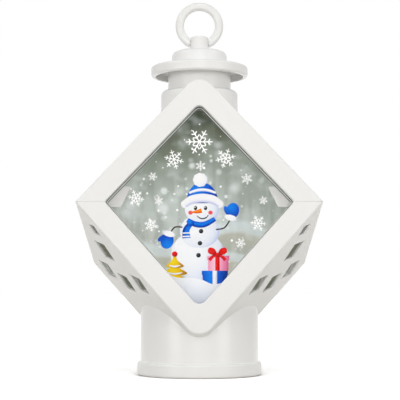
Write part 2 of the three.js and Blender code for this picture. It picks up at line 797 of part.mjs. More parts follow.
// The base cover: lip, recessed underside, spigot, battery tube with its skirt, posts and cradle
function baseCover() {
  const lipInner = lipRadius - lipWidth;
  const spigotTop = lipHeight + spigotRise;
  const cover = turned([
    [lidHole, baseRecess],
    [lipInner, baseRecess],
    [lipInner, 0],
    ...arc(lipRadius - lipRound, lipRound, lipRound, -90, 0, arcSteps / 2),
    ...arc(lipRadius - lipRound, lipHeight - lipRound, lipRound, 0, 90, arcSteps / 2),
    [spigotOuter, lipHeight],
    [spigotOuter, spigotTop],
    [spigotInner, spigotTop],
    [spigotInner, plateTop],
    [skirtRadius + skirtWall, plateTop],
    [skirtRadius + skirtWall, webTop],
    [tubeOuter, webTop],
    [tubeOuter, tubeTop],
    [tubeInner, tubeTop],
    [tubeInner, webFoot],
    [skirtRadius, webFoot],
    [skirtRadius, plateTop],
    [lidHole, plateTop],
    [lidHole, baseRecess],
  ]);
  const notchRadius = shellBossRadius + fitGap;
  const notches = atBaseScrews(bar(notchRadius, plateTop, spigotTop + overrun, shellBossPlace));
  const columns = atBaseScrews(bar(coverBossRadius, baseRecess, lipHeight, shellBossPlace))
    .intersect(bar(lipRadius - lipRound, 0, lipHeight, 0, 0, roundSegments));
  const holes = atBaseScrews(bar(screwHoleRadius, -overrun, lipHeight + overrun, shellBossPlace)
    .add(bar(smallScrew.head + screwHeadClearance, -overrun, baseScrewSeat, shellBossPlace)));
  const posts = bothEnds(bar(boardPostRadius, webFoot + webThickness / 2, boardHeight - seatGap, boardPostPlace)
    .subtract(bar(screwHoleRadius, webTop, boardHeight, boardPostPlace)));
  const knobSlot = block(
    [-(sliderLength + switchTravel) / 2 - fitGap, -switchPlace - sliderWidth / 2 - fitGap, 0],
    [(sliderLength + switchTravel) / 2 + fitGap, -switchPlace + sliderWidth / 2 + fitGap, plateTop + overrun],
  );
  const cradleEnd = block(
    [switchLength / 2 + fitGap, -switchPlace - switchWidth / 2, baseRecess + basePlate / 2],
    [switchLength / 2 + fitGap + cradleThickness, -switchPlace + switchWidth / 2, plateTop + cradleHeight],
  );
  const stripSlot = block(
    [tubeInner - overrun, -(stripWidth / 2 + fitGap), webFoot - overrun],
    [stripPlace + contactThickness + fitGap, stripWidth / 2 + fitGap, webTop + overrun],
  );
  return cover.subtract(notches).add(columns).subtract(holes)
    .add(posts).add(cradleEnd).add(cradleEnd.mirror([1, 0, 0]))
    .subtract(knobSlot)
    .subtract(turnAbout(stripSlot, 90))
    .subtract(lugEntries());
}

// A slab between two radii that spans an angle either side of +X
function lugSector(inner, outer, halfAngle, foot, top) {
  const from = THREE.MathUtils.degToRad(-halfAngle);
  const to = THREE.MathUtils.degToRad(halfAngle);
  const shape = new THREE.Shape().absarc(0, 0, outer, from, to, false).absarc(0, 0, inner, to, from, true);
  return floorPlate(shape, foot, top);
}

// Notches in the cover's plate that let the lid's lugs in, a twist away from where they lock
function lugEntries() {
  const reach = lidRadius + lidLugReach + fitGap;
  const margin = THREE.MathUtils.radToDeg(fitGap / lidRadius);
  const entry = lugSector(lidRadius - overrun, reach, lidLugHalfAngle + margin, 0, plateTop + overrun / 2);
  return bothEnds(turnAbout(entry, lidTwist));
}

// The twist lid: a disc with a coin slot and two lugs over the plate
function batteryLid() {
  const disc = bar(lidRadius, baseRecess, lidTop, 0, 0, roundSegments);
  const slot = block(
    [-lidSlotLength / 2, -lidSlotWidth / 2, 0],
    [lidSlotLength / 2, lidSlotWidth / 2, baseRecess + lidSlotDepth],
  );
  const lug = lugSector(
    lidRadius - overrun, lidRadius + lidLugReach, lidLugHalfAngle,
    plateTop + fitGap, plateTop + fitGap + lidLugHeight,
  );
  return disc.add(bothEnds(lug)).subtract(slot);
}

function lidContact() {
  return bar(tubeOuter, lidTop + seatGap, contactTop);
}

// A button cell, the small cap down
function buttonCell() {
  return turned([
    [0, 0],
    [cellCapRadius, 0],
    [cellCapRadius, cellCapHeight],
    [cellRadius - cellRound, cellCapHeight],
    [cellRadius, cellCapHeight + cellRound],
    ...arc(cellRadius - cellRound, cellHeight - cellRound, cellRound, 0, 90, arcSteps / 2),
    [0, cellHeight],
  ], innerSegments);
}

const springFoot = stackTop + springWire;
const springTop = boardHeight - springWire - seatGap;

class SpringCurve extends THREE.Curve {
  getPoint(t, target = new THREE.Vector3()) {
    const angle = 2 * Math.PI * springTurns * t;
    const height = springFoot + (springTop - springFoot) * t;
    return target.set(springRadius * Math.cos(angle), springRadius * Math.sin(angle), height);
  }
}

function contactSpring() {
  const section = new THREE.Shape().absarc(0, 0, springWire, 0, 2 * Math.PI);
  return solid(new THREE.ExtrudeGeometry(section, {
    steps: springTurns * springStepsPerTurn, bevelEnabled: false, curveSegments: springSides / 2,
    extrudePath: new SpringCurve(),
  }));
}

// The strip from the lid's contact up to the board, with a foot over the contact
function sideStrip() {
  const foot = contactTop + seatGap;
  const upright = block(
    [stripPlace, -stripWidth / 2, foot],
    [stripPlace + contactThickness, stripWidth / 2, boardHeight - seatGap],
  );
  const toe = block(
    [stripPlace - stripToeReach, -stripWidth / 2, foot],
    [stripPlace + contactThickness, stripWidth / 2, foot + contactThickness],
  );
  return turnAbout(upright.add(toe), 90);
}

// The light board with holes for the lamps' legs and for its screws
function lightBoard() {
  const [endX, endY] = [boardPostPlace + boardEndMargin, ledPlace + boardSideMargin];
  const outline = roundOutline([
    [endX, -endY, boardRound], [endX, endY, boardRound], [-endX, endY, boardRound], [-endX, -endY, boardRound],
  ]);
  const plate = floorPlate(outline, boardHeight, boardTop);
  const hole = (radius, x, y) => bar(radius, boardHeight - overrun, boardTop + overrun, x, y, fineSegments);
  const screwHoles = bothEnds(hole(screwHoleRadius, boardPostPlace, 0));
  const legHole = hole(ledLeg, ledPitch / 2, ledPlace).add(hole(ledLeg, -ledPitch / 2, ledPlace));
  const [leadX, leadY] = leadHolePlace;
  const leadHoles = hole(leadRadius + fitGap, leadX, -leadY).add(hole(leadRadius + fitGap, -leadX, -leadY));
  return plate.subtract(screwHoles).subtract(bothEnds(legHole)).subtract(leadHoles);
}

// A wide-angle lamp on the board, its legs through the holes
function lamp(place) {
  const foot = boardTop + seatGap;
  const body = turned([
    [0, 0],
    [ledEdge, 0],
    [ledEdge, ledFlangeHeight],
    [ledRadius, ledFlangeHeight],
    ...arc(0, ledHeight - ledRadius, ledRadius, 0, 90),
  ], innerSegments).translate([0, place, foot]);
  const leg = (x) => block(
    [x - ledLeg / 2, place - ledLeg / 2, foot - ledLegLength],
    [x + ledLeg / 2, place + ledLeg / 2, foot + ledFlangeHeight / 2],
  );
  return body.add(leg(ledPitch / 2)).add(leg(-ledPitch / 2));
}

function resistorPart() {
  const axis = boardTop + resistorRadius + resistorLift;
  const body = bar(resistorRadius, -resistorLength / 2, resistorLength / 2).rotate([0, 90, 0])
    .translate([0, 0, axis]);
  const half = ledLeg / 2;
  const reach = resistorSpan / 2;
  const lead = block([-reach, -half, axis - half], [reach, half, axis + half]);
  const leg = block([reach - ledLeg, -half, boardTop + seatGap], [reach, half, axis + half]);
  return body.add(lead).add(leg).add(leg.mirror([1, 0, 0]))
    .translate([ledEdge + resistorGap + reach, ledPlace, 0]);
}

function switchBody() {
  const [halfLength, half] = [switchLength / 2, switchWidth / 2];
  const top = switchFoot + switchHeight;
  const box = block([-halfLength, -switchPlace - half, switchFoot], [halfLength, -switchPlace + half, top]);
  const run = (sliderLength + switchTravel) / 2 + fitGap;
  const cavity = block(
    [-run, -switchPlace - sliderWidth / 2 - fitGap, switchFoot - overrun],
    [run, -switchPlace + sliderWidth / 2 + fitGap, switchFoot + sliderRise + fitGap],
  );
  const terminal = (x) => block(
    [x - terminalSize / 2, -switchPlace - terminalSize / 2, top - terminalSize],
    [x + terminalSize / 2, -switchPlace + terminalSize / 2, top + terminalHeight],
  );
  return box.subtract(cavity).add(union([-terminalPitch, 0, terminalPitch].map(terminal)));
}

function switchSlider() {
  const off = -switchTravel / 2;
  const stem = block(
    [off - sliderLength / 2, -switchPlace - sliderWidth / 2, knobFoot],
    [off + sliderLength / 2, -switchPlace + sliderWidth / 2, switchFoot + sliderRise],
  );
  const knob = block(
    [off - knobLength / 2, -switchPlace - knobWidth / 2, knobFoot],
    [off + knobLength / 2, -switchPlace + knobWidth / 2, baseRecess - fitGap],
  );
  return stem.add(knob);
}

// A lead from a switch terminal up through the board
function lead(side) {
  const terminalTop = switchFoot + switchHeight + terminalHeight + seatGap;
  const start = new THREE.Vector3(side * terminalPitch, -switchPlace, terminalTop);
  const end = new THREE.Vector3(side * leadHolePlace[0], -leadHolePlace[1], boardTop);
  const knee = end.clone().setZ(terminalTop + leadBend);
  const route = new THREE.CatmullRomCurve3([
    start,
    start.clone().setZ(terminalTop + leadRadius),
    knee,
    end.clone().setZ(boardHeight - leadRun),
    end,
  ]);
  const section = new THREE.Shape().absarc(0, 0, leadRadius, 0, 2 * Math.PI);
  return solid(new THREE.ExtrudeGeometry(section, {
    steps: leadSteps, bevelEnabled: false, curveSegments: leadSides / 2, extrudePath: route,
  }));
}

// The assembly
const lantern = new THREE.Group();

const shells = new THREE.Group();
const paneBody = pane();
shells.add(
  piece('upper_shell', upperShell(), white),
  piece('lower_shell', lowerShell(), white),
  piece('front_pane', paneBody, clear),
  piece('rear_pane', turnAbout(paneBody, 180), clear),
  piece('backdrop_card', backdropCard(), frosted),
);

const top = new THREE.Group();
const capScrew = piece('cap_screw', screw(largeScrew), steel);
capScrew.position.z = neckFloorHeight - seatGap;
const ring = piece('hanging_ring', hangingRing(), white);
ring.position.z = ringPivotHeight;
top.add(piece('chimney_cap', chimneyCap(), white), capScrew, ring);

const upright = new THREE.Vector3(0, 0, 1);
const base = new THREE.Group();
base.add(
  piece('base_cover', baseCover(), white),
  piece('battery_lid', batteryLid(), white),
  piece('lid_contact', lidContact(), brass),
  piece('side_strip', sideStrip(), brass),
  piece('contact_spring', contactSpring(), brass),
  piece('switch_body', switchBody(), steel),
  piece('switch_slider', switchSlider(), black),
);
baseScrewAngles.forEach((degrees, i) => {
  const baseScrew = piece(`base_screw_${i + 1}`, screw(smallScrew), steel);
  baseScrew.position.set(shellBossPlace, 0, baseScrewSeat - seatGap);
  baseScrew.position.applyAxisAngle(upright, THREE.MathUtils.degToRad(degrees));
  base.add(baseScrew);
});
for (let i = 0; i < cellCount; i += 1) {
  const cell = piece(`cell_${i + 1}`, buttonCell(), steel);
  cell.position.z = stackFoot + i * (cellHeight + seatGap);
  base.add(cell);
}

const lighting = new THREE.Group();
lighting.add(
  piece('light_board', lightBoard(), circuit),
  piece('front_lamp', lamp(-ledPlace), lens),
  piece('rear_lamp', lamp(ledPlace), lens),
  piece('resistor', resistorPart(), beige),
  piece('red_lead', lead(1), red),
  piece('black_lead', lead(-1), black),
);
[['board_screw_left', -1], ['board_screw_right', 1]].forEach(([name, side]) => {
  const boardScrew = piece(name, screw(smallScrew), steel);
  boardScrew.rotation.x = Math.PI;
  boardScrew.position.set(side * boardPostPlace, 0, boardTop + seatGap);
  lighting.add(boardScrew);
});

lantern.add(shells, top, base, lighting);

export default lantern;
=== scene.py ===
"""Looks of a small snowman lantern: moulded white plastic, printed windows, metal parts and a soft studio.

Metres, +Z up, and the front window faces -Y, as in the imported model. Sizes in the classes are in millimetres.
"""

import logging
from dataclasses import dataclass, field
from enum import Enum
from functools import reduce
from math import asin, atan2, cos, dist, pi, radians, sin, sqrt, tan
from operator import add
from typing import Any, ClassVar, Iterable, Optional, Sequence

import bmesh
import bpy
from mathutils import Matrix, Vector


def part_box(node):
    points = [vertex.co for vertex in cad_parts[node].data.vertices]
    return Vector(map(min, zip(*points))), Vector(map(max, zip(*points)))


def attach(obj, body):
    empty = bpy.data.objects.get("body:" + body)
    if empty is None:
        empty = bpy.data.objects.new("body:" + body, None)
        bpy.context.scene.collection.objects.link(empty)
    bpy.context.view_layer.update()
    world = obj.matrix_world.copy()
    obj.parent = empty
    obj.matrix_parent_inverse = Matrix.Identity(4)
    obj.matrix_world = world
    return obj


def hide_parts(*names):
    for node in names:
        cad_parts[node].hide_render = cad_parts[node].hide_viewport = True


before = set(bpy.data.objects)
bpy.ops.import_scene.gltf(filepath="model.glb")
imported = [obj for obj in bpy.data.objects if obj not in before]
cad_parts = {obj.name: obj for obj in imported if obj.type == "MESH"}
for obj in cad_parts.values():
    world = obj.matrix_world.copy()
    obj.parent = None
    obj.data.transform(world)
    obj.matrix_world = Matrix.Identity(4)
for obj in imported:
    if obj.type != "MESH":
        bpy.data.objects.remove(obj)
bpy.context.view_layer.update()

MM = 0.001
WELD = 1e-5
SAME_SPOT = 1e-9
LEVEL = 1e-6
ROUND = 128
EVEN_WEIGHT = 80
FLAT = radians(0.2)

MOST_NOISE = (0.2, 0.8)
CORE_NOISE = (0.3, 0.7)
ORIGIN = (0, 0, 0)
BOTH_SIDES = (0, 180)
QUARTER_TURN = pi / 2

Point2 = tuple[float, float]
Outline = Sequence[Point2]
Colour = tuple[float, float, float]
Mesh = bpy.types.Mesh
Piece = bpy.types.Object
Inputs = dict[str, Any]
Socket = bpy.types.NodeSocket
Vert = bmesh.types.BMVert
Row = Sequence[Vert]

log = logging.getLogger("lantern")


class Body(Enum):
    """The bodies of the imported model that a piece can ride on."""

    LANTERN = "lantern"
    RING = "ring"
    LID = "lid"
    SWITCH = "switch"


class Slot(Enum):
    """Names of material slots that new pieces are passed with; nothing reads them."""

    WHITE = "shell_white"
    STEEL = "steel"
    BLACK = "switch_black"
    PICTURE = "backdrop"


class Window(Enum):
    """The two windows, by how far their print is turned about the upright axis, in degrees."""

    FRONT = 0
    REAR = 180


def tone(code: str) -> Colour:
    """A colour in linear light from its hexadecimal display code.

    Args:
        code: Six hexadecimal digits, such as "1e6fd9".

    Returns:
        Red, green and blue from 0 to 1 in linear light.
    """
    values = [int(code[i : i + 2], 16) / 255 for i in (0, 2, 4)]
    linear = [v / 12.92 if v <= 0.04045 else ((v + 0.055) / 1.055) ** 2.4 for v in values]
    return (linear[0], linear[1], linear[2])


def configured(thing: Any, **settings: Any) -> Any:
    """A thing with its settings made.

    Args:
        thing: A node, modifier, lamp or the like.
        **settings: Its settings by name.

    Returns:
        The same thing.
    """
    for name, value in settings.items():
        setattr(thing, name, value)
    return thing


class NodeSheet:
    """A node tree that is being laid out, with short calls for the nodes that the finishes share."""

    def __init__(self, tree: bpy.types.NodeTree) -> None:
        """Keeps the tree that is laid out."""
        self.tree = tree

    @classmethod
    def fresh(cls, owner: Any) -> "NodeSheet":
        """A sheet on the emptied tree of a material or a world.

        Args:
            owner: The material or the world.

        Returns:
            The empty sheet.
        """
        owner.use_nodes = True
        owner.node_tree.nodes.clear()
        return cls(owner.node_tree)

    def add(self, kind: str, inputs: Optional[dict] = None, **settings: Any) -> bpy.types.Node:
        """Adds a node, sets it up and joins it.

        Args:
            kind: The node's type.
            inputs: Values or output sockets, by the name or index of the input that takes them.
            **settings: The node's own settings.

        Returns:
            The new node.
        """
        node = configured(self.tree.nodes.new(kind), **settings)
        for key, value in (inputs or {}).items():
            entry = node.inputs[key]
            if isinstance(value, Socket):
                self.tree.links.new(value, entry)
            else:
                entry.default_value = (*value, 1)[:4] if entry.type == "RGBA" else value
        return node

    def result(self, kind: str, inputs: Optional[dict] = None, **settings: Any) -> Socket:
        """The first output of a node that is added the same way."""
        return self.add(kind, inputs, **settings).outputs[0]

    def maths(self, operation: str, *values: Any) -> Socket:
        """The result of a Math node for numbers or sockets, in the order of its inputs."""
        return self.result("ShaderNodeMath", dict(enumerate(values)), operation=operation)

    def spread(self, value: Any, low: float, high: float, to_low: float, to_high: float) -> Socket:
        """A value moved smoothly from one range to another, and held at its ends."""
        inputs = {"Value": value, "From Min": low, "From Max": high, "To Min": to_low, "To Max": to_high}
        return self.result("ShaderNodeMapRange", inputs, interpolation_type="SMOOTHSTEP")

    def place(self, scale: Sequence[float] = (1, 1, 1), shift: Sequence[float] = ORIGIN) -> Socket:
        """Object coordinates in millimetres, stretched along each axis and then moved."""
        inputs = {"Vector": self.add("ShaderNodeTexCoord").outputs["Object"], "Location": shift}
        return self.result("ShaderNodeMapping", {**inputs, "Scale": tuple(s / MM for s in scale)})

    def noise(self, where: Any, size: float, detail: float = 2.0) -> Socket:
        """Soft noise from 0 to 1, with lumps of a size in millimetres and a number of finer layers."""
        inputs = {"Vector": where, "Scale": 1 / size, "Detail": detail}
        return self.result("ShaderNodeTexNoise", inputs)

    def blend(self, share: Any, first: Any, second: Any, kind: str = "MIX") -> Socket:
        """Two colours or their sockets mixed, with a share of the second and how that acts on the first."""
        inputs = {0: share, 6: first, 7: second}
        return self.add("ShaderNodeMix", inputs, data_type="RGBA", blend_type=kind).outputs[2]

    def ramp(self, value: Any, stops: Sequence[tuple[float, Colour]]) -> Socket:
        """A colour that follows a value through several stops.

        Args:
            value: The socket with the value.
            stops: Places from 0 to 1 with their colours.

        Returns:
            The socket with the colour.
        """
        node = self.add("ShaderNodeValToRGB", {0: value})
        elements = node.color_ramp.elements
        while len(elements) < len(stops):
            elements.new(1)
        for element, (place, colour) in zip(elements, stops):
            element.position = place
            element.color = (*colour, 1)
        return node.outputs[0]

    def grain(self, where: Any, size: float, depth: float) -> Socket:
        """The normal of a finely grained surface, with the grain's size and depth in millimetres."""
        height = self.noise(where, size, 3.0)
        return self.result("ShaderNodeBump", {"Height": height, "Strength": 0.5, "Distance": depth * MM})


@dataclass(frozen=True)
class Finish:
    """A named finish that is made once and shared."""

    name: str

    def surface(self, sheet: NodeSheet) -> Inputs:
        """The inputs of the finish's shader, laid out on a sheet."""
        raise NotImplementedError

    def material(self) -> bpy.types.Material:
        """The finish as a material.

        Returns:
            The material, new on the first call.
        """
        found = bpy.data.materials.get(self.name)
        if found:
            return found
        made = bpy.data.materials.new(self.name)
        sheet = NodeSheet.fresh(made)
        shader = sheet.result("ShaderNodeBsdfPrincipled", self.surface(sheet))
        sheet.add("ShaderNodeOutputMaterial", {"Surface": shader})
        return made


@dataclass(frozen=True)
class MouldedPlastic(Finish):
    """Opaque moulded plastic with a trace of clouding, a slightly uneven gloss and, where set, a grain."""

    colour: Colour = tone("f2f2f1")
    clouding: float = 0.98
    cloud_size: float = 40.0
    roughness: float = 0.22
    grain_depth: float = 0.0
    grain_size: float = 0.3
    smoother: float = 0.03
    rougher: float = 0.05

    def surface(self, sheet: NodeSheet) -> Inputs:
        """The plastic's shader.

        Args:
            sheet: The sheet it is laid out on.

        Returns:
            The shader's inputs.
        """
        where = sheet.place()
        clouds = sheet.noise(where, self.cloud_size, 0.0)
        shaded = tuple(c * self.clouding for c in self.colour)
        least, most = self.roughness - self.smoother, self.roughness + self.rougher
        roughness = sheet.spread(clouds, *MOST_NOISE, least, most)
        inputs = {"Base Color": sheet.blend(clouds, self.colour, shaded), "Roughness": roughness, "IOR": 1.5}
        if self.grain_depth:
            inputs["Normal"] = sheet.grain(where, self.grain_size, self.grain_depth)
        return inputs


@dataclass(frozen=True)
class ClearPlastic(Finish):
    """Polished see-through plastic."""

    colour: Colour = tone("f4f8f8")
    alpha: float = 0.012
    roughness: float = 0.05
    gloss: float = 0.08

    def surface(self, sheet: NodeSheet) -> Inputs:
        """The clear plastic's shader.

        Args:
            sheet: The sheet it is laid out on.

        Returns:
            The shader's inputs.
        """
        clouds = sheet.noise(sheet.place(), 9.0)
        roughness = sheet.spread(clouds, *MOST_NOISE, self.roughness, self.roughness * 1.8)
        inputs = {"Base Color": self.colour, "Roughness": roughness, "Alpha": self.alpha, "IOR": 1.49}
        inputs["Specular IOR Level"] = self.gloss
        return inputs


@dataclass(frozen=True)
class Metal(Finish):
    """Plated or rolled metal with fine marks along one way."""

    colour: Colour = tone("c9cacc")
    roughness: float = 0.28
    stretch: tuple[float, float, float] = (1, 1, 8)
    mark_size: float = 0.6
    mark_layers: float = 4.0
    dulling: float = 0.82
    smoother: float = 0.06
    rougher: float = 0.1
    grain_size: float = 0.3
    grain_depth: float = 0.003

    def surface(self, sheet: NodeSheet) -> Inputs:
        """The metal's shader.

        Args:
            sheet: The sheet it is laid out on.

        Returns:
            The shader's inputs.
        """
        where = sheet.place(self.stretch)
        marks = sheet.noise(where, self.mark_size, self.mark_layers)
        dulled = tuple(c * self.dulling for c in self.colour)
        least, most = self.roughness - self.smoother, self.roughness + self.rougher
        inputs = {
            "Base Color": sheet.blend(marks, self.colour, dulled),
            "Roughness": sheet.spread(marks, *CORE_NOISE, least, most),
            "Normal": sheet.grain(where, self.grain_size, self.grain_depth),
            "Metallic": 1.0,
        }
        return inputs


@dataclass(frozen=True)
class Lacquer(Finish):
    """A lacquered circuit board, with paler tracks under the lacquer."""

    colour: Colour = tone("23633f")
    track: Colour = tone("3f8a58")
    pitch: float = 2.54
    track_width: float = 0.8
    track_blur: float = 0.05
    cloud_size: float = 4.0
    cloud: Colour = (0.8, 0.8, 0.8)
    roughness: float = 0.3
    grain_size: float = 0.25
    grain_depth: float = 0.003

    def surface(self, sheet: NodeSheet) -> Inputs:
        """The board's shader.

        Args:
            sheet: The sheet it is laid out on.

        Returns:
            The shader's inputs.
        """
        where = sheet.place()
        x = sheet.result("ShaderNodeSeparateXYZ", {0: where})
        off_track = sheet.maths("PINGPONG", x, self.pitch / 2)
        edge, blur = self.track_width / 2, self.track_blur
        share = sheet.spread(off_track, edge - blur, edge + blur, 1, 0)
        clouds = sheet.noise(where, self.cloud_size)
        colour = sheet.blend(share, self.colour, self.track)
        colour = sheet.blend(clouds, colour, self.cloud, "MULTIPLY")
        normal = sheet.grain(where, self.grain_size, self.grain_depth)
        return {"Base Color": colour, "Roughness": self.roughness, "Normal": normal}


@dataclass(frozen=True)
class Insulation(Finish):
    """Soft insulation with a slightly uneven shine."""

    colour: Colour = tone("b02018")
    mark_size: float = 1.2
    darkening: float = 0.8
    shine: tuple[float, float] = (0.42, 0.55)
    grain_size: float = 0.2
    grain_depth: float = 0.004

    def surface(self, sheet: NodeSheet) -> Inputs:
        """The insulation's shader.

        Args:
            sheet: The sheet it is laid out on.

        Returns:
            The shader's inputs.
        """
        where = sheet.place()
        marks = sheet.noise(where, self.mark_size)
        darker = tuple(c * self.darkening for c in self.colour)
        inputs = {
            "Base Color": sheet.blend(marks, self.colour, darker),
            "Roughness": sheet.spread(marks, *CORE_NOISE, *self.shine),
            "Normal": sheet.grain(where, self.grain_size, self.grain_depth),
        }
        return inputs


@dataclass(frozen=True)
class BandedResistor(Finish):
    """Lacquered resistor paint with coloured bands along its length."""

    start: float = 3.5
    length: float = 8.6
    ground: Colour = tone("d8c08e")
    bands: tuple[Colour, ...] = (tone("8a2f1e"), tone("26262a"), tone("8a2f1e"), tone("b79a3c"))
    first_band: float = 0.28
    band_pitch: float = 0.15
    band_edge: tuple[float, float] = (0.025, 0.035)
    cloud_size: float = 1.5
    clouding: float = 0.88
    roughness: float = 0.35

    def surface(self, sheet: NodeSheet) -> Inputs:
        """The resistor's shader.

        Args:
            sheet: The sheet it is laid out on.

        Returns:
            The shader's inputs.
        """
        where = sheet.place()
        x = sheet.result("ShaderNodeSeparateXYZ", {0: where})
        along = sheet.maths("DIVIDE", sheet.maths("SUBTRACT", x, self.start), self.length)
        clouded = tuple(c * self.clouding for c in self.ground)
        colour = sheet.blend(sheet.noise(where, self.cloud_size), self.ground, clouded)
        for i, band in enumerate(self.bands):
            middle = self.first_band + self.band_pitch * i
            off = sheet.maths("ABSOLUTE", sheet.maths("SUBTRACT", along, middle))
            colour = sheet.blend(sheet.spread(off, *self.band_edge, 1, 0), colour, band)
        return {"Base Color": colour, "Roughness": self.roughness}


@dataclass(frozen=True)
class BlurredWinter(Finish):
    """A printed winter ground, out of focus: darker towards the top, snowy hills below, and soft discs of
    light. Inside the picture's diamond the card also glows with its own colour: painted light that brightens
    it.
    """

    foot: float = 26.0
    top: float = 96.0
    # strength of the card's painted glow: emission of its own colour that brightens it as if more light reached
    # it
    glow: float = 0.42
    level: float = 61.05
    picture_half_width: float = 35.5
    picture_rise: float = 40.0
    picture_drop: float = 38.6
    # colour outside the picture's diamond, where the card shows through the wall slots; with no glow there it
    # stays dark as painted shade
    margin: str = "c2c3b3"
    stops: tuple[tuple[float, str], ...] = (
        (0.02, "c8cac2"),
        (0.22, "c6c7bb"),
        (0.42, "c2c8c3"),
        (0.6, "b0b8b1"),
        (0.76, "8a9286"),
        (0.9, "6f7565"),
        (0.99, "545a4c"),
    )
    hills: tuple[tuple[float, float, float, float], ...] = ((49.0, 4.5, 8.5, 2.4), (39.5, 3.0, 6.5, 1.9))
    lights: tuple[tuple[float, float, float, float, float], ...] = (
        (9.5, 0.34, 0.15, 3.0, 0.7),
        (5.2, 0.36, 0.2, 17.0, 0.85),
        (2.8, 0.34, 0.35, 29.0, 0.9),
    )

    def discs(self, sheet: NodeSheet, pitch: float, radius: float, share: float, shift: float) -> Socket:
        """Soft discs of light in some cells of a scattered grid.

        Args:
            sheet: The sheet to lay them out on.
            pitch: The cells' size in millimetres.
            radius: The discs' radius as a share of that.
            share: How many cells are bare, from 0 to 1.
            shift: How far the grid is moved, in millimetres.

        Returns:
            The socket with their brightness from 0 to 1.
        """
        where = sheet.place((1, 0, 1), (shift, 0, shift))
        cells = sheet.add("ShaderNodeTexVoronoi", {"Vector": where, "Scale": 1 / pitch, "Randomness": 0.9})
        disc = sheet.spread(cells.outputs["Distance"], radius * 0.15, radius, 1, 0)
        chance = sheet.result("ShaderNodeSeparateColor", {0: cells.outputs["Color"]})
        return sheet.maths("MULTIPLY", disc, sheet.spread(chance, share, 1, 0, 1))

    def inside(self, sheet: NodeSheet, x: Socket, z: Socket) -> Socket:
        """Whether a place lies in the diamond of the picture seen through the windows, where the card glows,
        and not on the margin seen through the slots, which stays dark as painted shade.

        Args:
            sheet: The sheet to lay it out on.
            x: The socket with the place across.
            z: The socket with its height.

        Returns:
            The socket that is 1 in the picture.
        """
        off = sheet.maths("SUBTRACT", z, self.level)
        over = sheet.maths("DIVIDE", sheet.maths("MAXIMUM", off, 0.0), self.picture_rise)
        under = sheet.maths("DIVIDE", sheet.maths("MINIMUM", off, 0.0), -self.picture_drop)
        across = sheet.maths("DIVIDE", sheet.maths("ABSOLUTE", x), self.picture_half_width)
        share = sheet.maths("ADD", across, sheet.maths("ADD", over, under))
        return sheet.spread(share, 0.99, 1.01, 1, 0)

    def surface(self, sheet: NodeSheet) -> Inputs:
        """The print's shader.

        Args:
            sheet: The sheet it is laid out on.

        Returns:
            The shader's inputs.
        """
        flat = sheet.place((1, 0, 1))
        parts = sheet.add("ShaderNodeSeparateXYZ", {0: flat})
        x, z = parts.outputs[0], parts.outputs[2]
        height = sheet.maths("DIVIDE", sheet.maths("SUBTRACT", z, self.foot), self.top - self.foot)
        wave = sheet.maths("MULTIPLY", sheet.maths("SUBTRACT", sheet.noise(flat, 11.0, 1.5), 0.5), 0.4)
        stops = [(place, tone(code)) for place, code in self.stops]
        colour = sheet.ramp(sheet.maths("ADD", height, wave), stops)
        stems = sheet.noise(sheet.place((1, 0, 0.22)), 4.0, 1.5)
        colour = sheet.blend(sheet.spread(stems, 0.42, 0.62, 0.0, 0.4), colour, tone("838c81"))
        for level, swing, length, breadth in self.hills:
            swell = sheet.maths("SINE", sheet.maths("DIVIDE", x, length))
            drop = sheet.maths("SUBTRACT", z, sheet.maths("MULTIPLY_ADD", swell, swing, level))
            below = sheet.spread(drop, -4 * breadth, -breadth, 0.0, 0.5)
            slope = sheet.maths("MULTIPLY", below, sheet.spread(drop, -breadth, 0, 1, 0))
            colour = sheet.blend(slope, colour, tone("c3bfad"))
            band = sheet.spread(sheet.maths("ABSOLUTE", drop), breadth * 0.5, breadth * 1.3, 0.65, 0)
            colour = sheet.blend(band, colour, tone("dce6e7"))
        mist = sheet.noise(sheet.place((0.8, 0, 1.1), (40, 0, 5)), 8.0, 2.0)
        colour = sheet.blend(sheet.spread(mist, 0.48, 0.7, 0, 0.5), colour, tone("d3dad8"))
        for pitch, radius, bare, shift, strength in self.lights:
            light = sheet.maths("MULTIPLY", self.discs(sheet, pitch, radius, bare, shift), strength)
            faded = sheet.maths("MULTIPLY", light, sheet.spread(height, 0.7, 0.95, 1, 0.2))
            colour = sheet.blend(faded, colour, tone("f4f8f8"))
        inside = self.inside(sheet, x, z)
        # painted light: the card's colour as emission inside the picture's diamond, and none on the margin
        lit = sheet.blend(inside, (0, 0, 0), colour)
        inputs = {"Base Color": sheet.blend(inside, tone(self.margin), colour), "Roughness": 0.6}
        inputs |= {"Specular IOR Level": 0.2, "Emission Color": lit, "Emission Strength": self.glow}
        return inputs


@dataclass(frozen=True)
class PrintInk(Finish):
    """Opaque print ink whose colour goes from light to deep along the mesh's own shade attribute, and which
    glows faintly with that colour: painted light that brightens the print behind the pane.
    """

    light: str = "ffffff"
    middle: str = "eeeeee"
    deep: str = "cccccc"
    # strength of the ink's painted glow: emission of its own colour
    glow: float = 0.1

    def surface(self, sheet: NodeSheet) -> Inputs:
        """The ink's shader.

        Args:
            sheet: The sheet it is laid out on.

        Returns:
            The shader's inputs.
        """
        shade = sheet.add("ShaderNodeAttribute", attribute_name="shade").outputs["Fac"]
        stops = [(0.0, tone(self.light)), (0.55, tone(self.middle)), (1.0, tone(self.deep))]
        colour = sheet.ramp(shade, stops)
        speckle = sheet.noise(sheet.place(), 0.5, 1.0)
        colour = sheet.blend(sheet.spread(speckle, *CORE_NOISE, 0, 1), colour, (0.96, 0.96, 0.96), "MULTIPLY")
        inputs = {"Base Color": colour, "Roughness": 0.5, "Specular IOR Level": 0.05}
        # painted light: the ink's colour also as emission
        inputs |= {"Emission Color": colour, "Emission Strength": self.glow}
        return inputs


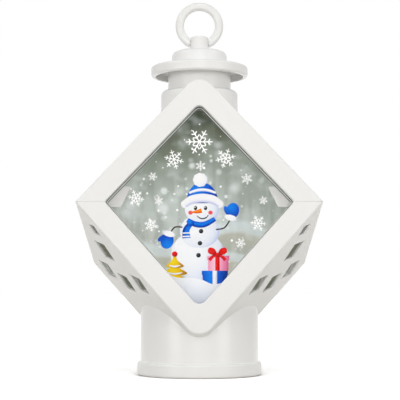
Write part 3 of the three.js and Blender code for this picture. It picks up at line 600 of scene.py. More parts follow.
WHITE_PLASTIC = MouldedPlastic("finish_white_plastic")
CLEAR_PLASTIC = ClearPlastic("finish_clear_plastic", tone("b4bcbc"))
LAMP_LENS = ClearPlastic("finish_lamp_lens", tone("f3ecd2"), 0.7, 0.15, 0.5)
STEEL = Metal("finish_plated_steel")
BRASS = Metal("finish_brass", tone("cdb06a"), 0.3)
BOARD_LACQUER = Lacquer("finish_board_lacquer")
BLACK_PLASTIC = MouldedPlastic("finish_black_plastic", tone("1f1f22"), 0.8, 3.0, 0.5, 0.01)
RED_LEAD = Insulation("finish_red_lead")
BLACK_LEAD = Insulation("finish_black_lead", tone("262629"))
RESISTOR = BandedResistor("finish_resistor")
WINTER_PRINT = BlurredWinter("finish_winter_print")


class Ink(Enum):
    """The inks of the window prints, each with a painted glow of its own colour, except the edge shade."""

    SNOW = PrintInk("ink_snow", "fafcff", "e6ecf8", "b3c2ee")
    WOOL = PrintInk("ink_wool", "ffffff", "f1f2fb", "bdc3e8")
    BLUE = PrintInk("ink_blue", "0584f2", "0052cb", "002a80")
    COAL = PrintInk("ink_coal", "4a4b53", "131317", "040406")
    CARROT = PrintInk("ink_carrot", "ff9a1f", "f96a08", "c74202")
    ROSE = PrintInk("ink_rose", "ee4450", "f06872", "f8c4ca")
    TWIG = PrintInk("ink_twig", "4a3f38", "2c2420", "181210")
    GOLD = PrintInk("ink_gold", "fbe024", "f0c402", "b27c00")
    RED = PrintInk("ink_red", "f01c14", "d60406", "860205")
    PINK = PrintInk("ink_pink", "fdd3e4", "f596bb", "dd5f90")
    # the crystal ink has the strongest painted glow, which keeps the thin crystals and the pale edge line
    # bright
    CRYSTAL = PrintInk("ink_crystal", "ffffff", "fdfeff", "f0f4fb", 0.3)
    # ink of the painted edge shade: dark and grey lines that stand in for shade along the window's edges
    OLIVE = PrintInk("ink_olive", "d3d7ce", "8a9082", "454a3e", 0.0)


def plain_object(name: str, mesh: Mesh) -> Piece:
    """A new object at the origin for a mesh.

    Args:
        name: The object's name.
        mesh: Its mesh, in metres, in place.

    Returns:
        The object, in the scene.
    """
    made = bpy.data.objects.new(name, mesh)
    bpy.context.scene.collection.objects.link(made)
    return made


def join_model(piece: Piece, *replaced: str, body: Body = Body.LANTERN, slot: Slot = Slot.WHITE) -> None:
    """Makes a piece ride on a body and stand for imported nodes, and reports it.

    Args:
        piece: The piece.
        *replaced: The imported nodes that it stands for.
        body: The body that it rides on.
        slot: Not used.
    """
    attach(piece, body.value)
    if replaced:
        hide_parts(*replaced)
    log.info("%s: %d faces, on %s", piece.name, len(piece.data.polygons), body.value)


def dress_nodes(finish: Finish, *nodes: str) -> None:
    """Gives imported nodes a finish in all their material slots.

    Args:
        finish: The finish.
        *nodes: The nodes' names.
    """
    for node in nodes:
        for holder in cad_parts[node].material_slots:
            holder.material = finish.material()
        log.info("%s keeps its shape, in %s", node, finish.name)


def baked(piece: Piece) -> Mesh:
    """A plain mesh of a piece with its modifiers applied.

    Args:
        piece: The piece, which loses its modifiers.

    Returns:
        The mesh, which the piece now has.
    """
    bpy.context.view_layer.update()
    graph = bpy.context.evaluated_depsgraph_get()
    mesh = bpy.data.meshes.new_from_object(piece.evaluated_get(graph), depsgraph=graph)
    mesh.name = piece.name
    piece.modifiers.clear()
    piece.data = mesh
    return mesh


def draft_of(mesh: Mesh, matrix: Matrix = Matrix()) -> bmesh.types.BMesh:
    """A draft of a mesh, moved, turned or scaled by a matrix.

    Args:
        mesh: The mesh.
        matrix: The matrix.

    Returns:
        The draft.
    """
    draft = bmesh.new()
    draft.from_mesh(mesh)
    draft.transform(matrix)
    return draft


def soften(piece: Piece, crease: float = 52.0) -> None:
    """Smooths a piece's shading over its bevels and arcs, and keeps its flat faces flat.

    Args:
        piece: The piece, whose mesh is edited.
        crease: The angle in degrees above which an edge stays sharp.
    """
    mesh = piece.data
    draft = draft_of(mesh)
    for edge in draft.edges:
        edge.smooth = edge.is_manifold and edge.calc_face_angle() < radians(crease)
    for face in draft.faces:
        face.smooth = True
    draft.to_mesh(mesh)
    draft.free()
    configured(piece.modifiers.new("even_shading", "WEIGHTED_NORMAL"), keep_sharp=True, weight=EVEN_WEIGHT)


@dataclass(frozen=True)
class Plane:
    """A flat boundary of a solid: its outward direction, and its distance from the origin in millimetres."""

    normal: Vector
    distance: float

    @classmethod
    def facing(cls, direction: Sequence[float], distance: float, inset: float = 0.0) -> "Plane":
        """A plane from a direction of any length, its distance times that length, and an inset."""
        arrow = Vector(direction)
        return cls(arrow.normalized(), distance / arrow.length - inset)


def full_turn(steps: int) -> list[float]:
    """Angles spread evenly round a full turn, in radians."""
    return [2 * pi * i / steps for i in range(steps)]


def panel(draft: bmesh.types.BMesh, first: Row, second: Row, step: int) -> bmesh.types.BMFace:
    """The face at one step between two rows, where a row of one point gives a corner."""
    near, far = ((row[step % len(row)], row[(step + 1) % len(row)]) for row in (first, second))
    return draft.faces.new(list(dict.fromkeys((*near, far[1], far[0]))))


class Solid:
    """A closed mesh in millimetres, which can be joined with others and cut by them."""

    def __init__(self, draft: bmesh.types.BMesh) -> None:
        """Makes the mesh from a draft, with its faces pointing outwards.

        Args:
            draft: The draft, which is used up.
        """
        bmesh.ops.remove_doubles(draft, verts=draft.verts, dist=WELD)
        bmesh.ops.recalc_face_normals(draft, faces=draft.faces)
        self.mesh = bpy.data.meshes.new("solid")
        draft.to_mesh(self.mesh)
        draft.free()

    @classmethod
    def of_mesh(cls, mesh: Mesh) -> "Solid":
        """A solid from a closed mesh in millimetres."""
        return cls(draft_of(mesh))

    @classmethod
    def of_node(cls, node: str) -> "Solid":
        """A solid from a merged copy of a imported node."""
        return cls(draft_of(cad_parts[node].data, Matrix.Scale(1 / MM, 4)))

    @classmethod
    def convex(cls, planes: Iterable[Plane], room: float = 400.0) -> "Solid":
        """The solid that planes enclose.

        Args:
            planes: The planes.
            room: The size of the block that they cut, in millimetres.

        Returns:
            The solid.
        """
        draft = bmesh.new()
        bmesh.ops.create_cube(draft, size=room)
        for plane in planes:
            everything = [*draft.verts, *draft.edges, *draft.faces]
            place = plane.normal * plane.distance
            cut = bmesh.ops.bisect_plane(
                draft, geom=everything, dist=WELD, plane_co=place, plane_no=plane.normal, clear_outer=True
            )
            rim = [part for part in cut["geom_cut"] if isinstance(part, bmesh.types.BMEdge)]
            if rim:
                bmesh.ops.contextual_create(draft, geom=rim)
        return cls(draft)

    @classmethod
    def lofted(cls, rings: Sequence[Sequence[Vector]]) -> "Solid":
        """A solid through rings of as many points each, with flat ends.

        Args:
            rings: The rings of points.

        Returns:
            The solid.
        """
        draft = bmesh.new()
        rows = [[draft.verts.new(point) for point in ring] for ring in rings]
        for first, second in zip(rows, rows[1:]):
            for i in range(len(first)):
                draft.faces.new((first[i - 1], first[i], second[i], second[i - 1]))
        draft.faces.new(rows[0])
        draft.faces.new(rows[-1])
        return cls(draft)

    @classmethod
    def box(cls, low: Sequence[float], high: Sequence[float]) -> "Solid":
        """A box between two corners."""
        spots = ((low[0], low[1]), (high[0], low[1]), (high[0], high[1]), (low[0], high[1]))
        return cls.lofted([[Vector((x, y, z)) for x, y in spots] for z in (low[2], high[2])])

    @classmethod
    def bar(cls, radius: float, foot: float, top: float, x: float = 0.0, steps: int = 48) -> "Solid":
        """An upright round bar between two heights, with its middle moved to the right."""
        ring = [(x + radius * cos(angle), radius * sin(angle)) for angle in full_turn(steps)]
        return cls.lofted([[Vector((*spot, height)) for spot in ring] for height in (foot, top)])

    def reworked(self, kind: str, **settings: Any) -> "Solid":
        """The solid after one modifier.

        Args:
            kind: The modifier's type.
            **settings: Its settings.

        Returns:
            The new solid.
        """
        piece = plain_object("reworked", self.mesh.copy())
        configured(piece.modifiers.new("rework", kind), **settings)
        mesh = baked(piece)
        bpy.data.objects.remove(piece)
        return Solid.of_mesh(mesh)

    def combined(self, other: "Solid", operation: str) -> "Solid":
        """The solid joined with another, cut by it, or what both share.

        Args:
            other: The other solid.
            operation: UNION, DIFFERENCE or INTERSECT.

        Returns:
            The new solid.
        """
        second = plain_object("second", other.mesh)
        whole = self.reworked("BOOLEAN", object=second, operation=operation, solver="MANIFOLD")
        bpy.data.objects.remove(second)
        return whole

    def __add__(self, other: "Solid") -> "Solid":
        """The two joined."""
        return self.combined(other, "UNION")

    def __sub__(self, other: "Solid") -> "Solid":
        """The first with the second cut out."""
        return self.combined(other, "DIFFERENCE")

    def __and__(self, other: "Solid") -> "Solid":
        """What the two share."""
        return self.combined(other, "INTERSECT")

    def placed(self, matrix: Matrix) -> "Solid":
        """A moved, turned or mirrored copy."""
        return Solid(draft_of(self.mesh, matrix))

    def about(self, angles: Iterable[float]) -> "Solid":
        """Copies turned about the upright axis by angles in degrees, joined."""
        return reduce(add, [self.placed(Matrix.Rotation(radians(angle), 4, "Z")) for angle in angles])

    def with_mirror(self, axis: int) -> "Solid":
        """The solid joined with its mirror image across an axis."""
        factors = [-1 if i == axis else 1 for i in range(3)]
        return self + self.placed(Matrix.Diagonal((*factors, 1)))

    def rounded(self, width: float, steps: int = 4, crease: float = 25.0) -> "Solid":
        """The solid with edges sharper than a crease in degrees cut back by a width, in so many steps."""
        limit = {"limit_method": "ANGLE", "angle_limit": radians(crease)}
        return self.reworked("BEVEL", width=width, segments=steps, use_clamp_overlap=False, **limit)

    def piece(self, name: str, finish: Finish, crease: float = 30.0) -> Piece:
        """A finished piece in metres, with its flat faces merged and its shading smoothed.

        Args:
            name: The piece's name.
            finish: Its finish.
            crease: The angle in degrees above which an edge stays sharp.

        Returns:
            The piece.
        """
        draft = draft_of(self.mesh)
        bmesh.ops.dissolve_limit(draft, angle_limit=FLAT, verts=draft.verts, edges=draft.edges)
        bmesh.ops.scale(draft, vec=(MM,) * 3, verts=draft.verts)
        mesh = bpy.data.meshes.new(name)
        draft.to_mesh(mesh)
        draft.free()
        mesh.materials.append(finish.material())
        made = plain_object(name, mesh)
        soften(made, crease)
        return made


@dataclass
class Turned:
    """A closed outline of radii and heights in millimetres, turned round the upright axis."""

    outline: list[Point2] = field(default_factory=list)

    def to(self, *points: Point2) -> "Turned":
        """Adds points and gives the outline back."""
        self.outline.extend(points)
        return self

    def arc(self, centre: Point2, radius: float, start: float, end: float, steps: int = 8) -> "Turned":
        """Adds an arc of points.

        Args:
            centre: Its centre.
            radius: Its radius.
            start: The angle it starts at, in degrees.
            end: The angle it ends at, in degrees.
            steps: How many steps it takes.

        Returns:
            The outline, for the next call.
        """
        for i in range(steps + 1):
            angle = radians(start + (end - start) * i / steps)
            self.to((centre[0] + radius * cos(angle), centre[1] + radius * sin(angle)))
        return self

    def shoulder(
        self, radius: float, top: float, rounding: float, start: float, end: float, steps: int
    ) -> "Turned":
        """Adds a round outer shoulder in the place of a corner at a radius and a height."""
        return self.arc((radius - rounding, top - rounding), rounding, start, end, steps)

    def solid(self, steps: int = ROUND) -> Solid:
        """The turned solid, with as many steps round.

        Args:
            steps: How many steps go round.

        Returns:
            The solid.
        """
        draft = bmesh.new()
        rings: list[list[Vert]] = []
        for radius, height in self.outline:
            turns = full_turn(1 if radius < WELD else steps)
            spots = [(radius * cos(angle), radius * sin(angle), height) for angle in turns]
            rings.append([draft.verts.new(spot) for spot in spots])
        for first, second in zip(rings, rings[1:] + rings[:1]):
            if len(first) == len(second) == 1:
                continue
            for i in range(steps):
                panel(draft, first, second, i)
        return Solid(draft)


def round_outline(corners: Sequence[tuple[float, float, float]], steps: int = 12) -> list[Point2]:
    """An outline with round corners.

    Args:
        corners: Each corner's two places and its radius.
        steps: How many steps a round corner takes.

    Returns:
        The points of the outline.
    """
    points: list[Point2] = []
    for i, (x, z, radius) in enumerate(corners):
        here = Vector((x, z))
        before = (Vector(corners[i - 1][:2]) - here).normalized()
        after = (Vector(corners[(i + 1) % len(corners)][:2]) - here).normalized()
        half = before.angle(after) / 2
        if not radius:
            points.append((x, z))
            continue
        middle = here + (before + after).normalized() * radius / sin(half)
        start, end = (here + arm * radius / tan(half) - middle for arm in (before, after))
        first = atan2(start.y, start.x)
        sweep = (atan2(end.y, end.x) - first + pi) % (2 * pi) - pi
        for k in range(steps + 1):
            angle = first + sweep * k / steps
            points.append((middle.x + radius * cos(angle), middle.y + radius * sin(angle)))
    return points


def plate(outline: Outline, near: float, far: float) -> Solid:
    """A plate across the depth, from its outline seen from the front and its two depths."""
    return Solid.lofted([[Vector((x, y, z)) for x, z in outline] for y in (near, far)])


def rounded_mouth(radius: float, steps: int = 6) -> list[Point2]:
    """The depths of an opening's round mouth, each with how far the opening is grown there."""
    turns = [radians(90 * k / steps) for k in range(steps + 1)]
    return [(radius * (1 - cos(angle)), radius * (1 - sin(angle))) for angle in turns]


class GeometryTree(NodeSheet):
    """A Geometry Nodes tree with named inputs, which grows a plain mesh."""

    def __init__(self, name: str) -> None:
        """Starts a tree with its geometry sockets.

        Args:
            name: The tree's name.
        """
        tree = bpy.data.node_groups.new(name, "GeometryNodeTree")
        tree.interface.new_socket("Geometry", in_out="INPUT", socket_type="NodeSocketGeometry")
        tree.interface.new_socket("Geometry", in_out="OUTPUT", socket_type="NodeSocketGeometry")
        super().__init__(tree)
        self.values: dict[str, Any] = {}
        self.entry = tree.nodes.new("NodeGroupInput")

    def given(self, name: str, value: Any, kind: str = "NodeSocketFloat") -> Socket:
        """A named input.

        Args:
            name: Its name.
            value: What it is set to.
            kind: Its type of socket.

        Returns:
            The socket that carries it inside the tree.
        """
        socket = self.tree.interface.new_socket(name, in_out="INPUT", socket_type=kind)
        self.values[socket.identifier] = value
        return self.entry.outputs[name]

    def join(self, *parts: Socket) -> Socket:
        """Several geometries as one.

        Args:
            *parts: Their sockets.

        Returns:
            The socket with all of them.
        """
        node = self.add("GeometryNodeJoinGeometry")
        for part in parts:
            self.tree.links.new(part, node.inputs[0])
        return node.outputs[0]

    def moved(self, part: Any, shift: Any = ORIGIN, turn: Any = ORIGIN, scale: Any = (1, 1, 1)) -> Socket:
        """A geometry scaled, turned by radians about each axis, and moved."""
        inputs = {"Geometry": part, "Translation": shift, "Rotation": turn, "Scale": scale}
        return self.result("GeometryNodeTransform", inputs)

    def block(self, size: Any, middle: Any = ORIGIN) -> Socket:
        """A block of a size about its middle."""
        return self.moved(self.result("GeometryNodeMeshCube", {"Size": size}), middle)

    def copies(self, points: Socket, shape: Socket, **more: Any) -> Socket:
        """A shape on every point, with a Rotation or Scale where they are given."""
        return self.result("GeometryNodeInstanceOnPoints", {"Points": points, "Instance": shape, **more})

    def vector(self, x: Any = 0.0, y: Any = 0.0, z: Any = 0.0) -> Socket:
        """A vector from three numbers or sockets."""
        return self.result("ShaderNodeCombineXYZ", {0: x, 1: y, 2: z})

    def grow(self, name: str, shape: Socket, finish: Finish, seedling: Optional[Mesh] = None) -> Piece:
        """Ends the tree with its finish and grows the piece as a plain mesh.

        Args:
            name: The piece's name.
            shape: The socket with its geometry.
            finish: Its finish.
            seedling: The mesh that the tree starts from, or none.

        Returns:
            The piece, without modifiers.
        """
        material = self.given("Finish", finish.material(), "NodeSocketMaterial")
        whole = self.result("GeometryNodeRealizeInstances", {0: shape})
        dressed = self.result("GeometryNodeSetMaterial", {"Geometry": whole, "Material": material})
        self.add("NodeGroupOutput", {0: dressed})
        piece = plain_object(name, seedling or bpy.data.meshes.new(name))
        modifier = piece.modifiers.new("growth", "NODES")
        modifier.node_group = self.tree
        for identifier, value in self.values.items():
            modifier[identifier] = value
        baked(piece)
        return piece


@dataclass
class DiamondBody:
    """The diamond-shaped body that both shells share: its outside, its walls and its window."""

    half_width: float = 42.9
    half_depth: float = 23.3
    seam_height: float = 61.05
    roof_rise: float = 45.3
    roof_round: float = 6.0
    chin_height: float = 12.65
    chin_round: float = 5.6
    flank_inset: float = 4.7
    flank_drop: float = 21.0
    edge_round: float = 0.5
    wall: float = 1.1
    face_thickness: float = 2.0
    window_half_width: float = 32.8
    window_rise: float = 34.4
    window_drop: float = 36.7
    window_rounds: tuple[float, float, float] = (1.0, 2.2, 3.0)
    window_mouth: float = 0.35
    window_return: float = 3.6
    return_width: float = 1.2
    pane_thickness: float = 1.5
    frame_depth: float = 3.6
    frame_ledge: float = 0.35
    ledge_step: float = 0.01
    rib_height: float = 1.2
    rib_near: float = 0.8
    rib_far: float = 2.0
    fit_gap: float = 0.3
    seat_gap: float = 0.05
    seam_gap: float = 0.02
    overrun: float = 1.0
    fan_steps: int = 22

    def __post_init__(self) -> None:
        """Works out the heights, slopes and depths that follow."""
        self.peak = self.seam_height + self.roof_rise
        self.flank_half_width = self.half_width - self.flank_inset
        flank_height = self.seam_height - self.flank_drop
        self.roof_angle = atan2(self.roof_rise, self.half_width)
        chin_rise = self.seam_height - self.chin_height
        self.chin_angle = atan2(chin_rise, self.half_width)
        self.wall_slope = chin_rise / self.half_width
        self.keel_height = flank_height - self.wall_slope * self.flank_half_width
        self.flare = (self.chin_height - self.keel_height) / self.half_depth
        self.flank_height = flank_height
        self.return_back = self.half_depth - self.window_return
        self.frame_front = self.return_back - self.seat_gap - self.pane_thickness - self.fit_gap
        self.frame_back = self.frame_front - self.frame_depth

    def fan(self, limit: float) -> list[float]:
        """Angles spread evenly to a limit on both sides."""
        return [limit * (2 * i / self.fan_steps - 1) for i in range(self.fan_steps + 1)]

    def depths(self, inset: float = 0.0) -> list[Plane]:
        """The front and the back face."""
        return [Plane.facing((0, side, 0), self.half_depth, inset) for side in (1, -1)]

    def roof(self, inset: float = 0.0) -> list[Plane]:
        """The two roof slopes and the round ridge between them.

        Args:
            inset: How far they lie inside.

        Returns:
            The planes.
        """
        centre = self.peak - self.roof_round / cos(self.roof_angle)
        return [
            Plane.facing((sin(a), 0, cos(a)), centre * cos(a) + self.roof_round, inset)
            for a in self.fan(self.roof_angle)
        ]

    def chin(self, inset: float = 0.0) -> list[Plane]:
        """The four slanted walls and the round chins between them.

        Args:
            inset: How far they lie inside.

        Returns:
            The planes.
        """
        centre = self.chin_height + self.chin_round / cos(self.chin_angle)
        planes = []
        for side in (1, -1):
            for a in self.fan(self.chin_angle):
                distance = self.chin_round / cos(a) - centre + self.flare * self.half_depth
                planes.append(Plane.facing((tan(a), side * self.flare, -1), distance, inset))
        return planes

    def flanks(self, inset: float = 0.0) -> list[Plane]:
        """The two side faces under the side corners.

        Args:
            inset: How far they lie inside.

        Returns:
            The planes.
        """
        lean = self.flank_inset / self.flank_drop
        distance = self.half_width - lean * self.seam_height
        return [Plane.facing((side, 0, -lean), distance, inset) for side in (1, -1)]

    def levels(self, foot: float, top: float) -> list[Plane]:
        """A level foot and a level top."""
        return [Plane.facing((0, 0, -1), -foot), Plane.facing((0, 0, 1), top)]

    def inside(self, margin: float, near: float, far: float, foot: float, top: float) -> Solid:
        """What lies inside the walls by a margin, between two depths and two heights."""
        walls = [*self.roof(margin), *self.chin(margin), *self.flanks(margin), *self.levels(foot, top)]
        return Solid.convex([*walls, Plane.facing((0, 1, 0), far), Plane.facing((0, -1, 0), -near)])

    def card_ribs(self, foot: float, top: float) -> Solid:
        """The ribs before and behind the card, which follow the inside of the walls.

        Args:
            foot: Their lower end.
            top: Their upper end.

        Returns:
            The ribs.
        """
        over, near, far = self.overrun, self.rib_near, self.rib_far
        whole = self.inside(self.wall - self.seat_gap, near, far, foot, top)
        hollow = self.inside(self.wall + self.rib_height, near - over, far + over, foot - over, top + over)
        return (whole - hollow).about(BOTH_SIDES)

    def window(self, grow: float = 0.0) -> list[Point2]:
        """The window's outline, grown by a margin.

        Args:
            grow: The margin in millimetres.

        Returns:
            The points of the outline.
        """
        upper = atan2(self.window_rise, self.window_half_width)
        lower = atan2(self.window_drop, self.window_half_width)
        side, top, foot = (radius + grow for radius in self.window_rounds)
        reach = self.window_half_width + grow / sin(upper)
        return round_outline(
            [
                (reach, self.seam_height, side),
                (0, self.seam_height + self.window_rise + grow / cos(upper), top),
                (-reach, self.seam_height, side),
                (0, self.seam_height - self.window_drop - grow / cos(lower), foot),
            ]
        )

    def openings(self) -> Solid:
        """What both windows cut out: a rounded mouth, and a little less at the frame behind the pane.

        Returns:
            The solid that cuts them.
        """
        front, mouth, ledge = -self.half_depth, self.window_mouth, -self.frame_ledge
        profile = [(front - self.overrun, mouth)]
        profile += [(front + depth, grow) for depth, grow in rounded_mouth(mouth)]
        step = -self.frame_front - self.fit_gap / 2
        profile += [(step, 0.0), (step + self.ledge_step, ledge), (self.overrun - self.frame_back, ledge)]
        one = Solid.lofted([[Vector((x, depth, z)) for x, z in self.window(grow)] for depth, grow in profile])
        return one.about(BOTH_SIDES)

    def frames(self) -> Solid:
        """The returns round both windows and the frames behind their panes, before they are cut out.

        Returns:
            The frames.
        """
        rim_front = -self.half_depth + self.face_thickness - self.seat_gap
        rim = plate(self.window(self.return_width), rim_front, -self.return_back)
        margin = self.wall - self.seat_gap
        back = self.inside(margin, -self.frame_front, -self.frame_back, self.chin_height, self.peak)
        return (rim + back).about(BOTH_SIDES)


@dataclass
class WallSlots:
    """The slots in the four slanted walls, each with a soft mouth and a little wider inside."""

    body: DiamondBody
    long: float = 6.8
    short: float = 5.1
    lean: float = 20.0
    cross: float = -48.0
    corner: float = 0.25
    mouth: float = 0.5
    mouth_steps: int = 6
    spread: float = 0.5
    depth: float = 3.6
    place_shares: tuple[tuple[float, float, float], ...] = (
        (0.178, 0.175, 0.58),
        (0.295, 0.4, 1.0),
        (0.375, 0.765, 0.9),
        (0.502, 0.565, 0.95),
        (0.56, 0.25, 0.95),
    )

    def outline(self, size: float, grow: float) -> list[Point2]:
        """A slot's outline along and across its wall.

        Args:
            size: Its size as a share of a whole slot.
            grow: How far it is grown, in millimetres.

        Returns:
            The points of the outline.
        """
        leans = [radians(angle) for angle in (self.lean, self.cross)]
        reaches = [reach * size / 2 + grow for reach in (self.short, self.long)]
        area = sin(leans[1] - leans[0])
        corners = []
        for first, second in ((1, 1), (1, -1), (-1, -1), (-1, 1)):
            near, far = first * reaches[0], second * reaches[1]
            along = (near * cos(leans[1]) - far * cos(leans[0])) / area
            across = (near * sin(leans[1]) - far * sin(leans[0])) / area
            corners.append((along, across, self.corner + grow))
        return round_outline(corners, self.mouth_steps)

    def one(self, along: float, across: float, size: float) -> Solid:
        """One slot in the front left wall.

        Args:
            along: Its place as a share of the wall's length.
            across: Its place as a share of the wall's width.
            size: Its size as a share of a whole slot.

        Returns:
            The solid that cuts it.
        """
        body = self.body
        start = Vector((-body.half_width, -body.half_depth, body.seam_height))
        edge = Vector((0, -body.half_depth, body.chin_height)) - start
        knee = Vector((-body.flank_half_width, 0, body.flank_height)) - start
        length = edge.normalized()
        out = length.cross(knee).normalized()
        if out.x > 0:
            out.negate()
        width = length.cross(out)
        middle = start + edge * along + width * knee.dot(width) * across
        profile = [(-body.overrun, self.mouth), *rounded_mouth(self.mouth, self.mouth_steps)]
        profile.append((self.depth, (self.depth - self.mouth) * self.spread))
        rings = []
        for depth, grow in profile:
            rings.append([middle + length * a + width * c - out * depth for a, c in self.outline(size, grow)])
        return Solid.lofted(rings)

    def all(self) -> Solid:
        """The slots of all four walls."""
        return reduce(add, [self.one(*shares) for shares in self.place_shares]).with_mirror(0).with_mirror(1)


@dataclass
class Tongues:
    """The upper shell's tongues, which show in the side corners of both windows."""

    body: DiamondBody
    rise: float = 5.65
    drop: float = 1.55
    top_reach: float = 23.9
    foot_reach: float = 27.6
    thickness: float = 1.4
    corner: float = 0.45

    def solid(self, gap: float = 0.0) -> Solid:
        """All four tongues, grown by a gap on all sides.

        Args:
            gap: The gap in millimetres.

        Returns:
            The tongues.
        """
        body = self.body
        lean = (self.foot_reach - self.top_reach) / (self.rise + self.drop)
        top, foot = body.seam_height + self.rise + gap, body.seam_height - self.drop - gap
        outer = -body.half_width - body.overrun
        corners = [
            (gap + lean * gap - self.top_reach, top, self.corner),
            (outer, top, 0),
            (outer, foot, 0),
            (gap - lean * gap - self.foot_reach, foot, self.corner),
        ]
        near, far = -body.frame_front - gap, -body.frame_front + self.thickness + gap
        return plate(round_outline(corners), near, far).with_mirror(0).about(BOTH_SIDES)


@dataclass
class UpperShell:
    """The upper shell: the body's roof with its collar and neck."""

    body: DiamondBody
    neck_radius: float = 11.45
    neck_height: float = 7.95
    neck_wall: float = 1.6
    floor_lift: float = 1.75
    floor_thickness: float = 1.5
    floor_hole: float = 1.45
    collar_step: float = 2.55
    collar_sink: float = 3.4
    collar_round: float = 1.6
    neck_fillet: float = 0.3

    def __post_init__(self) -> None:
        """Works out the collar's reach and the heights that follow."""
        self.collar = self.neck_radius + self.collar_step
        self.collar_top = self.body.peak - self.collar_sink
        self.neck_top = self.collar_top + self.neck_height
        self.stack_foot = self.body.seam_height + self.body.roof_rise / 2

    def stack(self) -> Solid:
        """The collar and the neck, without their bore.

        Returns:
            The collar and the neck.
        """
        neck, fillet = self.neck_radius, self.neck_fillet
        shape = Turned().to((0, self.stack_foot), (self.collar, self.stack_foot))
        shape.shoulder(self.collar, self.collar_top, self.collar_round, 0, 90, 10)
        shape.arc((neck + fillet, self.collar_top + fillet), fillet, 270, 180, 4)
        return shape.to((neck, self.neck_top), (0, self.neck_top)).solid()

    def bore(self) -> Solid:
        """The bore through the collar and the neck.

        Returns:
            The solid that cuts it.
        """
        over = self.body.overrun
        collar_bore, neck_bore = self.collar - self.neck_wall, self.neck_radius - self.neck_wall
        foot, step, top = self.stack_foot - over, self.collar_top - self.neck_wall, self.neck_top + over
        shape = Turned().to((0, foot), (collar_bore, foot), (collar_bore, step), (neck_bore, step))
        return shape.to((neck_bore, top), (0, top)).solid()

    def neck_floor(self) -> Solid:
        """The floor in the neck that the cap's screw goes through.

        Returns:
            The floor.
        """
        foot = self.collar_top + self.floor_lift
        top = foot + self.floor_thickness
        hole, reach = self.floor_hole, self.neck_radius - self.neck_wall / 2
        return Turned().to((hole, foot), (reach, foot), (reach, top), (hole, top)).solid()

    def build(self) -> None:
        """Moulds the shell, which stands for its node."""
        body = self.body
        foot, peak = body.seam_height + body.seam_gap, body.peak + body.overrun
        sides = [Plane.facing((side, 0, 0), peak) for side in (1, -1)]
        room = Solid.convex([*body.depths(), *body.levels(foot, peak), *sides])
        hull = Solid.convex([*body.roof(), *body.depths(), *body.levels(body.flank_height, peak)])
        walls = [*body.roof(body.wall), *body.depths(body.face_thickness)]
        cavity = Solid.convex([*walls, *body.levels(foot - body.overrun, peak)])
        passage = Solid.bar(self.collar - self.neck_wall, body.seam_height, body.peak, 0, ROUND)
        depths = (-body.half_depth, body.half_depth)
        near_roof = body.inside(body.wall - body.seat_gap, *depths, body.seam_height, body.peak)
        near_flank = body.inside(body.wall + body.fit_gap, *depths, body.flank_height, foot + body.overrun)
        shell = (hull.rounded(body.edge_round) & room) + self.stack() - cavity - self.bore()
        shell = shell + ((body.frames() & room) - passage)
        shell = shell + (body.card_ribs(foot, body.peak) - passage) - body.openings()
        shell = shell + self.neck_floor() + (Tongues(body).solid() & (near_roof + near_flank))
        piece = shell.piece("upper_shell_moulded", WHITE_PLASTIC)
        join_model(piece, "upper_shell")


@dataclass
class LowerShell:
    """The lower shell: slanted walls with slots on a round drum."""

    body: DiamondBody
    drum_radius: float = 21.3
    drum_taper: float = 0.2
    drum_wall: float = 1.6
    drum_reach: float = 4.0
    drum_cap: float = 1.0
    foot: float = 4.852
    boss_radius: float = 2.6
    boss_place: float = 17.5
    boss_top: float = 12.65
    boss_cap: float = 1.0
    boss_hole: float = 1.0
    boss_angles: tuple[float, ...] = (90, 210, 330)

    def build(self) -> None:
        """Moulds the shell, which stands for its node."""
        body = self.body
        over, foot, top = body.overrun, self.foot, body.seam_height - body.seam_gap
        drum_top = body.keel_height + body.wall_slope * self.drum_radius + self.drum_reach
        foot_radius = self.drum_radius + self.drum_taper
        faces = [*body.chin(), *body.flanks(), *body.depths()]
        hull = Solid.convex([*faces, *body.levels(foot, top + over)])
        room = Solid.box((-body.peak, -body.half_depth, foot), (body.peak, body.half_depth, top))
        drum = Turned().to((0, foot), (foot_radius, foot), (self.drum_radius, drum_top), (0, drum_top))
        bore = Turned().to((0, foot - over), (foot_radius - self.drum_wall, foot - over))
        ceiling = drum_top - self.drum_cap
        bore.to((self.drum_radius - self.drum_wall, ceiling), (0, ceiling))
        walls = [*body.chin(body.wall), *body.flanks(body.wall), *body.depths(body.face_thickness)]
        cavity = Solid.convex([*walls, *body.levels(foot - over, top + over)])
        frames = (body.frames() & room) - Tongues(body).solid(body.fit_gap)
        card_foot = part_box("backdrop_card")[0][2] / MM
        boss = Solid.bar(self.boss_radius, foot, self.boss_top, self.boss_place)
        boss = boss - Solid.bar(self.boss_hole, 0, self.boss_top - self.boss_cap, self.boss_place)
        shell = (hull.rounded(body.edge_round) & room) + drum.solid() - cavity - bore.solid()
        shell = shell + frames + body.card_ribs(card_foot, top) - body.openings()
        shell = shell - WallSlots(body).all() + boss.about(self.boss_angles)
        piece = shell.piece("lower_shell_moulded", WHITE_PLASTIC)
        join_model(piece, "lower_shell")


@dataclass
class Shells:
    """The diamond body: two moulded shells round two clear panes and a printed card."""

    pane_nodes: tuple[str, ...] = ("front_pane", "rear_pane")

    def build(self) -> None:
        """Builds the shells and dresses the panes and the card."""
        body = DiamondBody()
        UpperShell(body).build()
        LowerShell(body).build()
        dress_nodes(CLEAR_PLASTIC, *self.pane_nodes)
        dress_nodes(WINTER_PRINT, "backdrop_card")


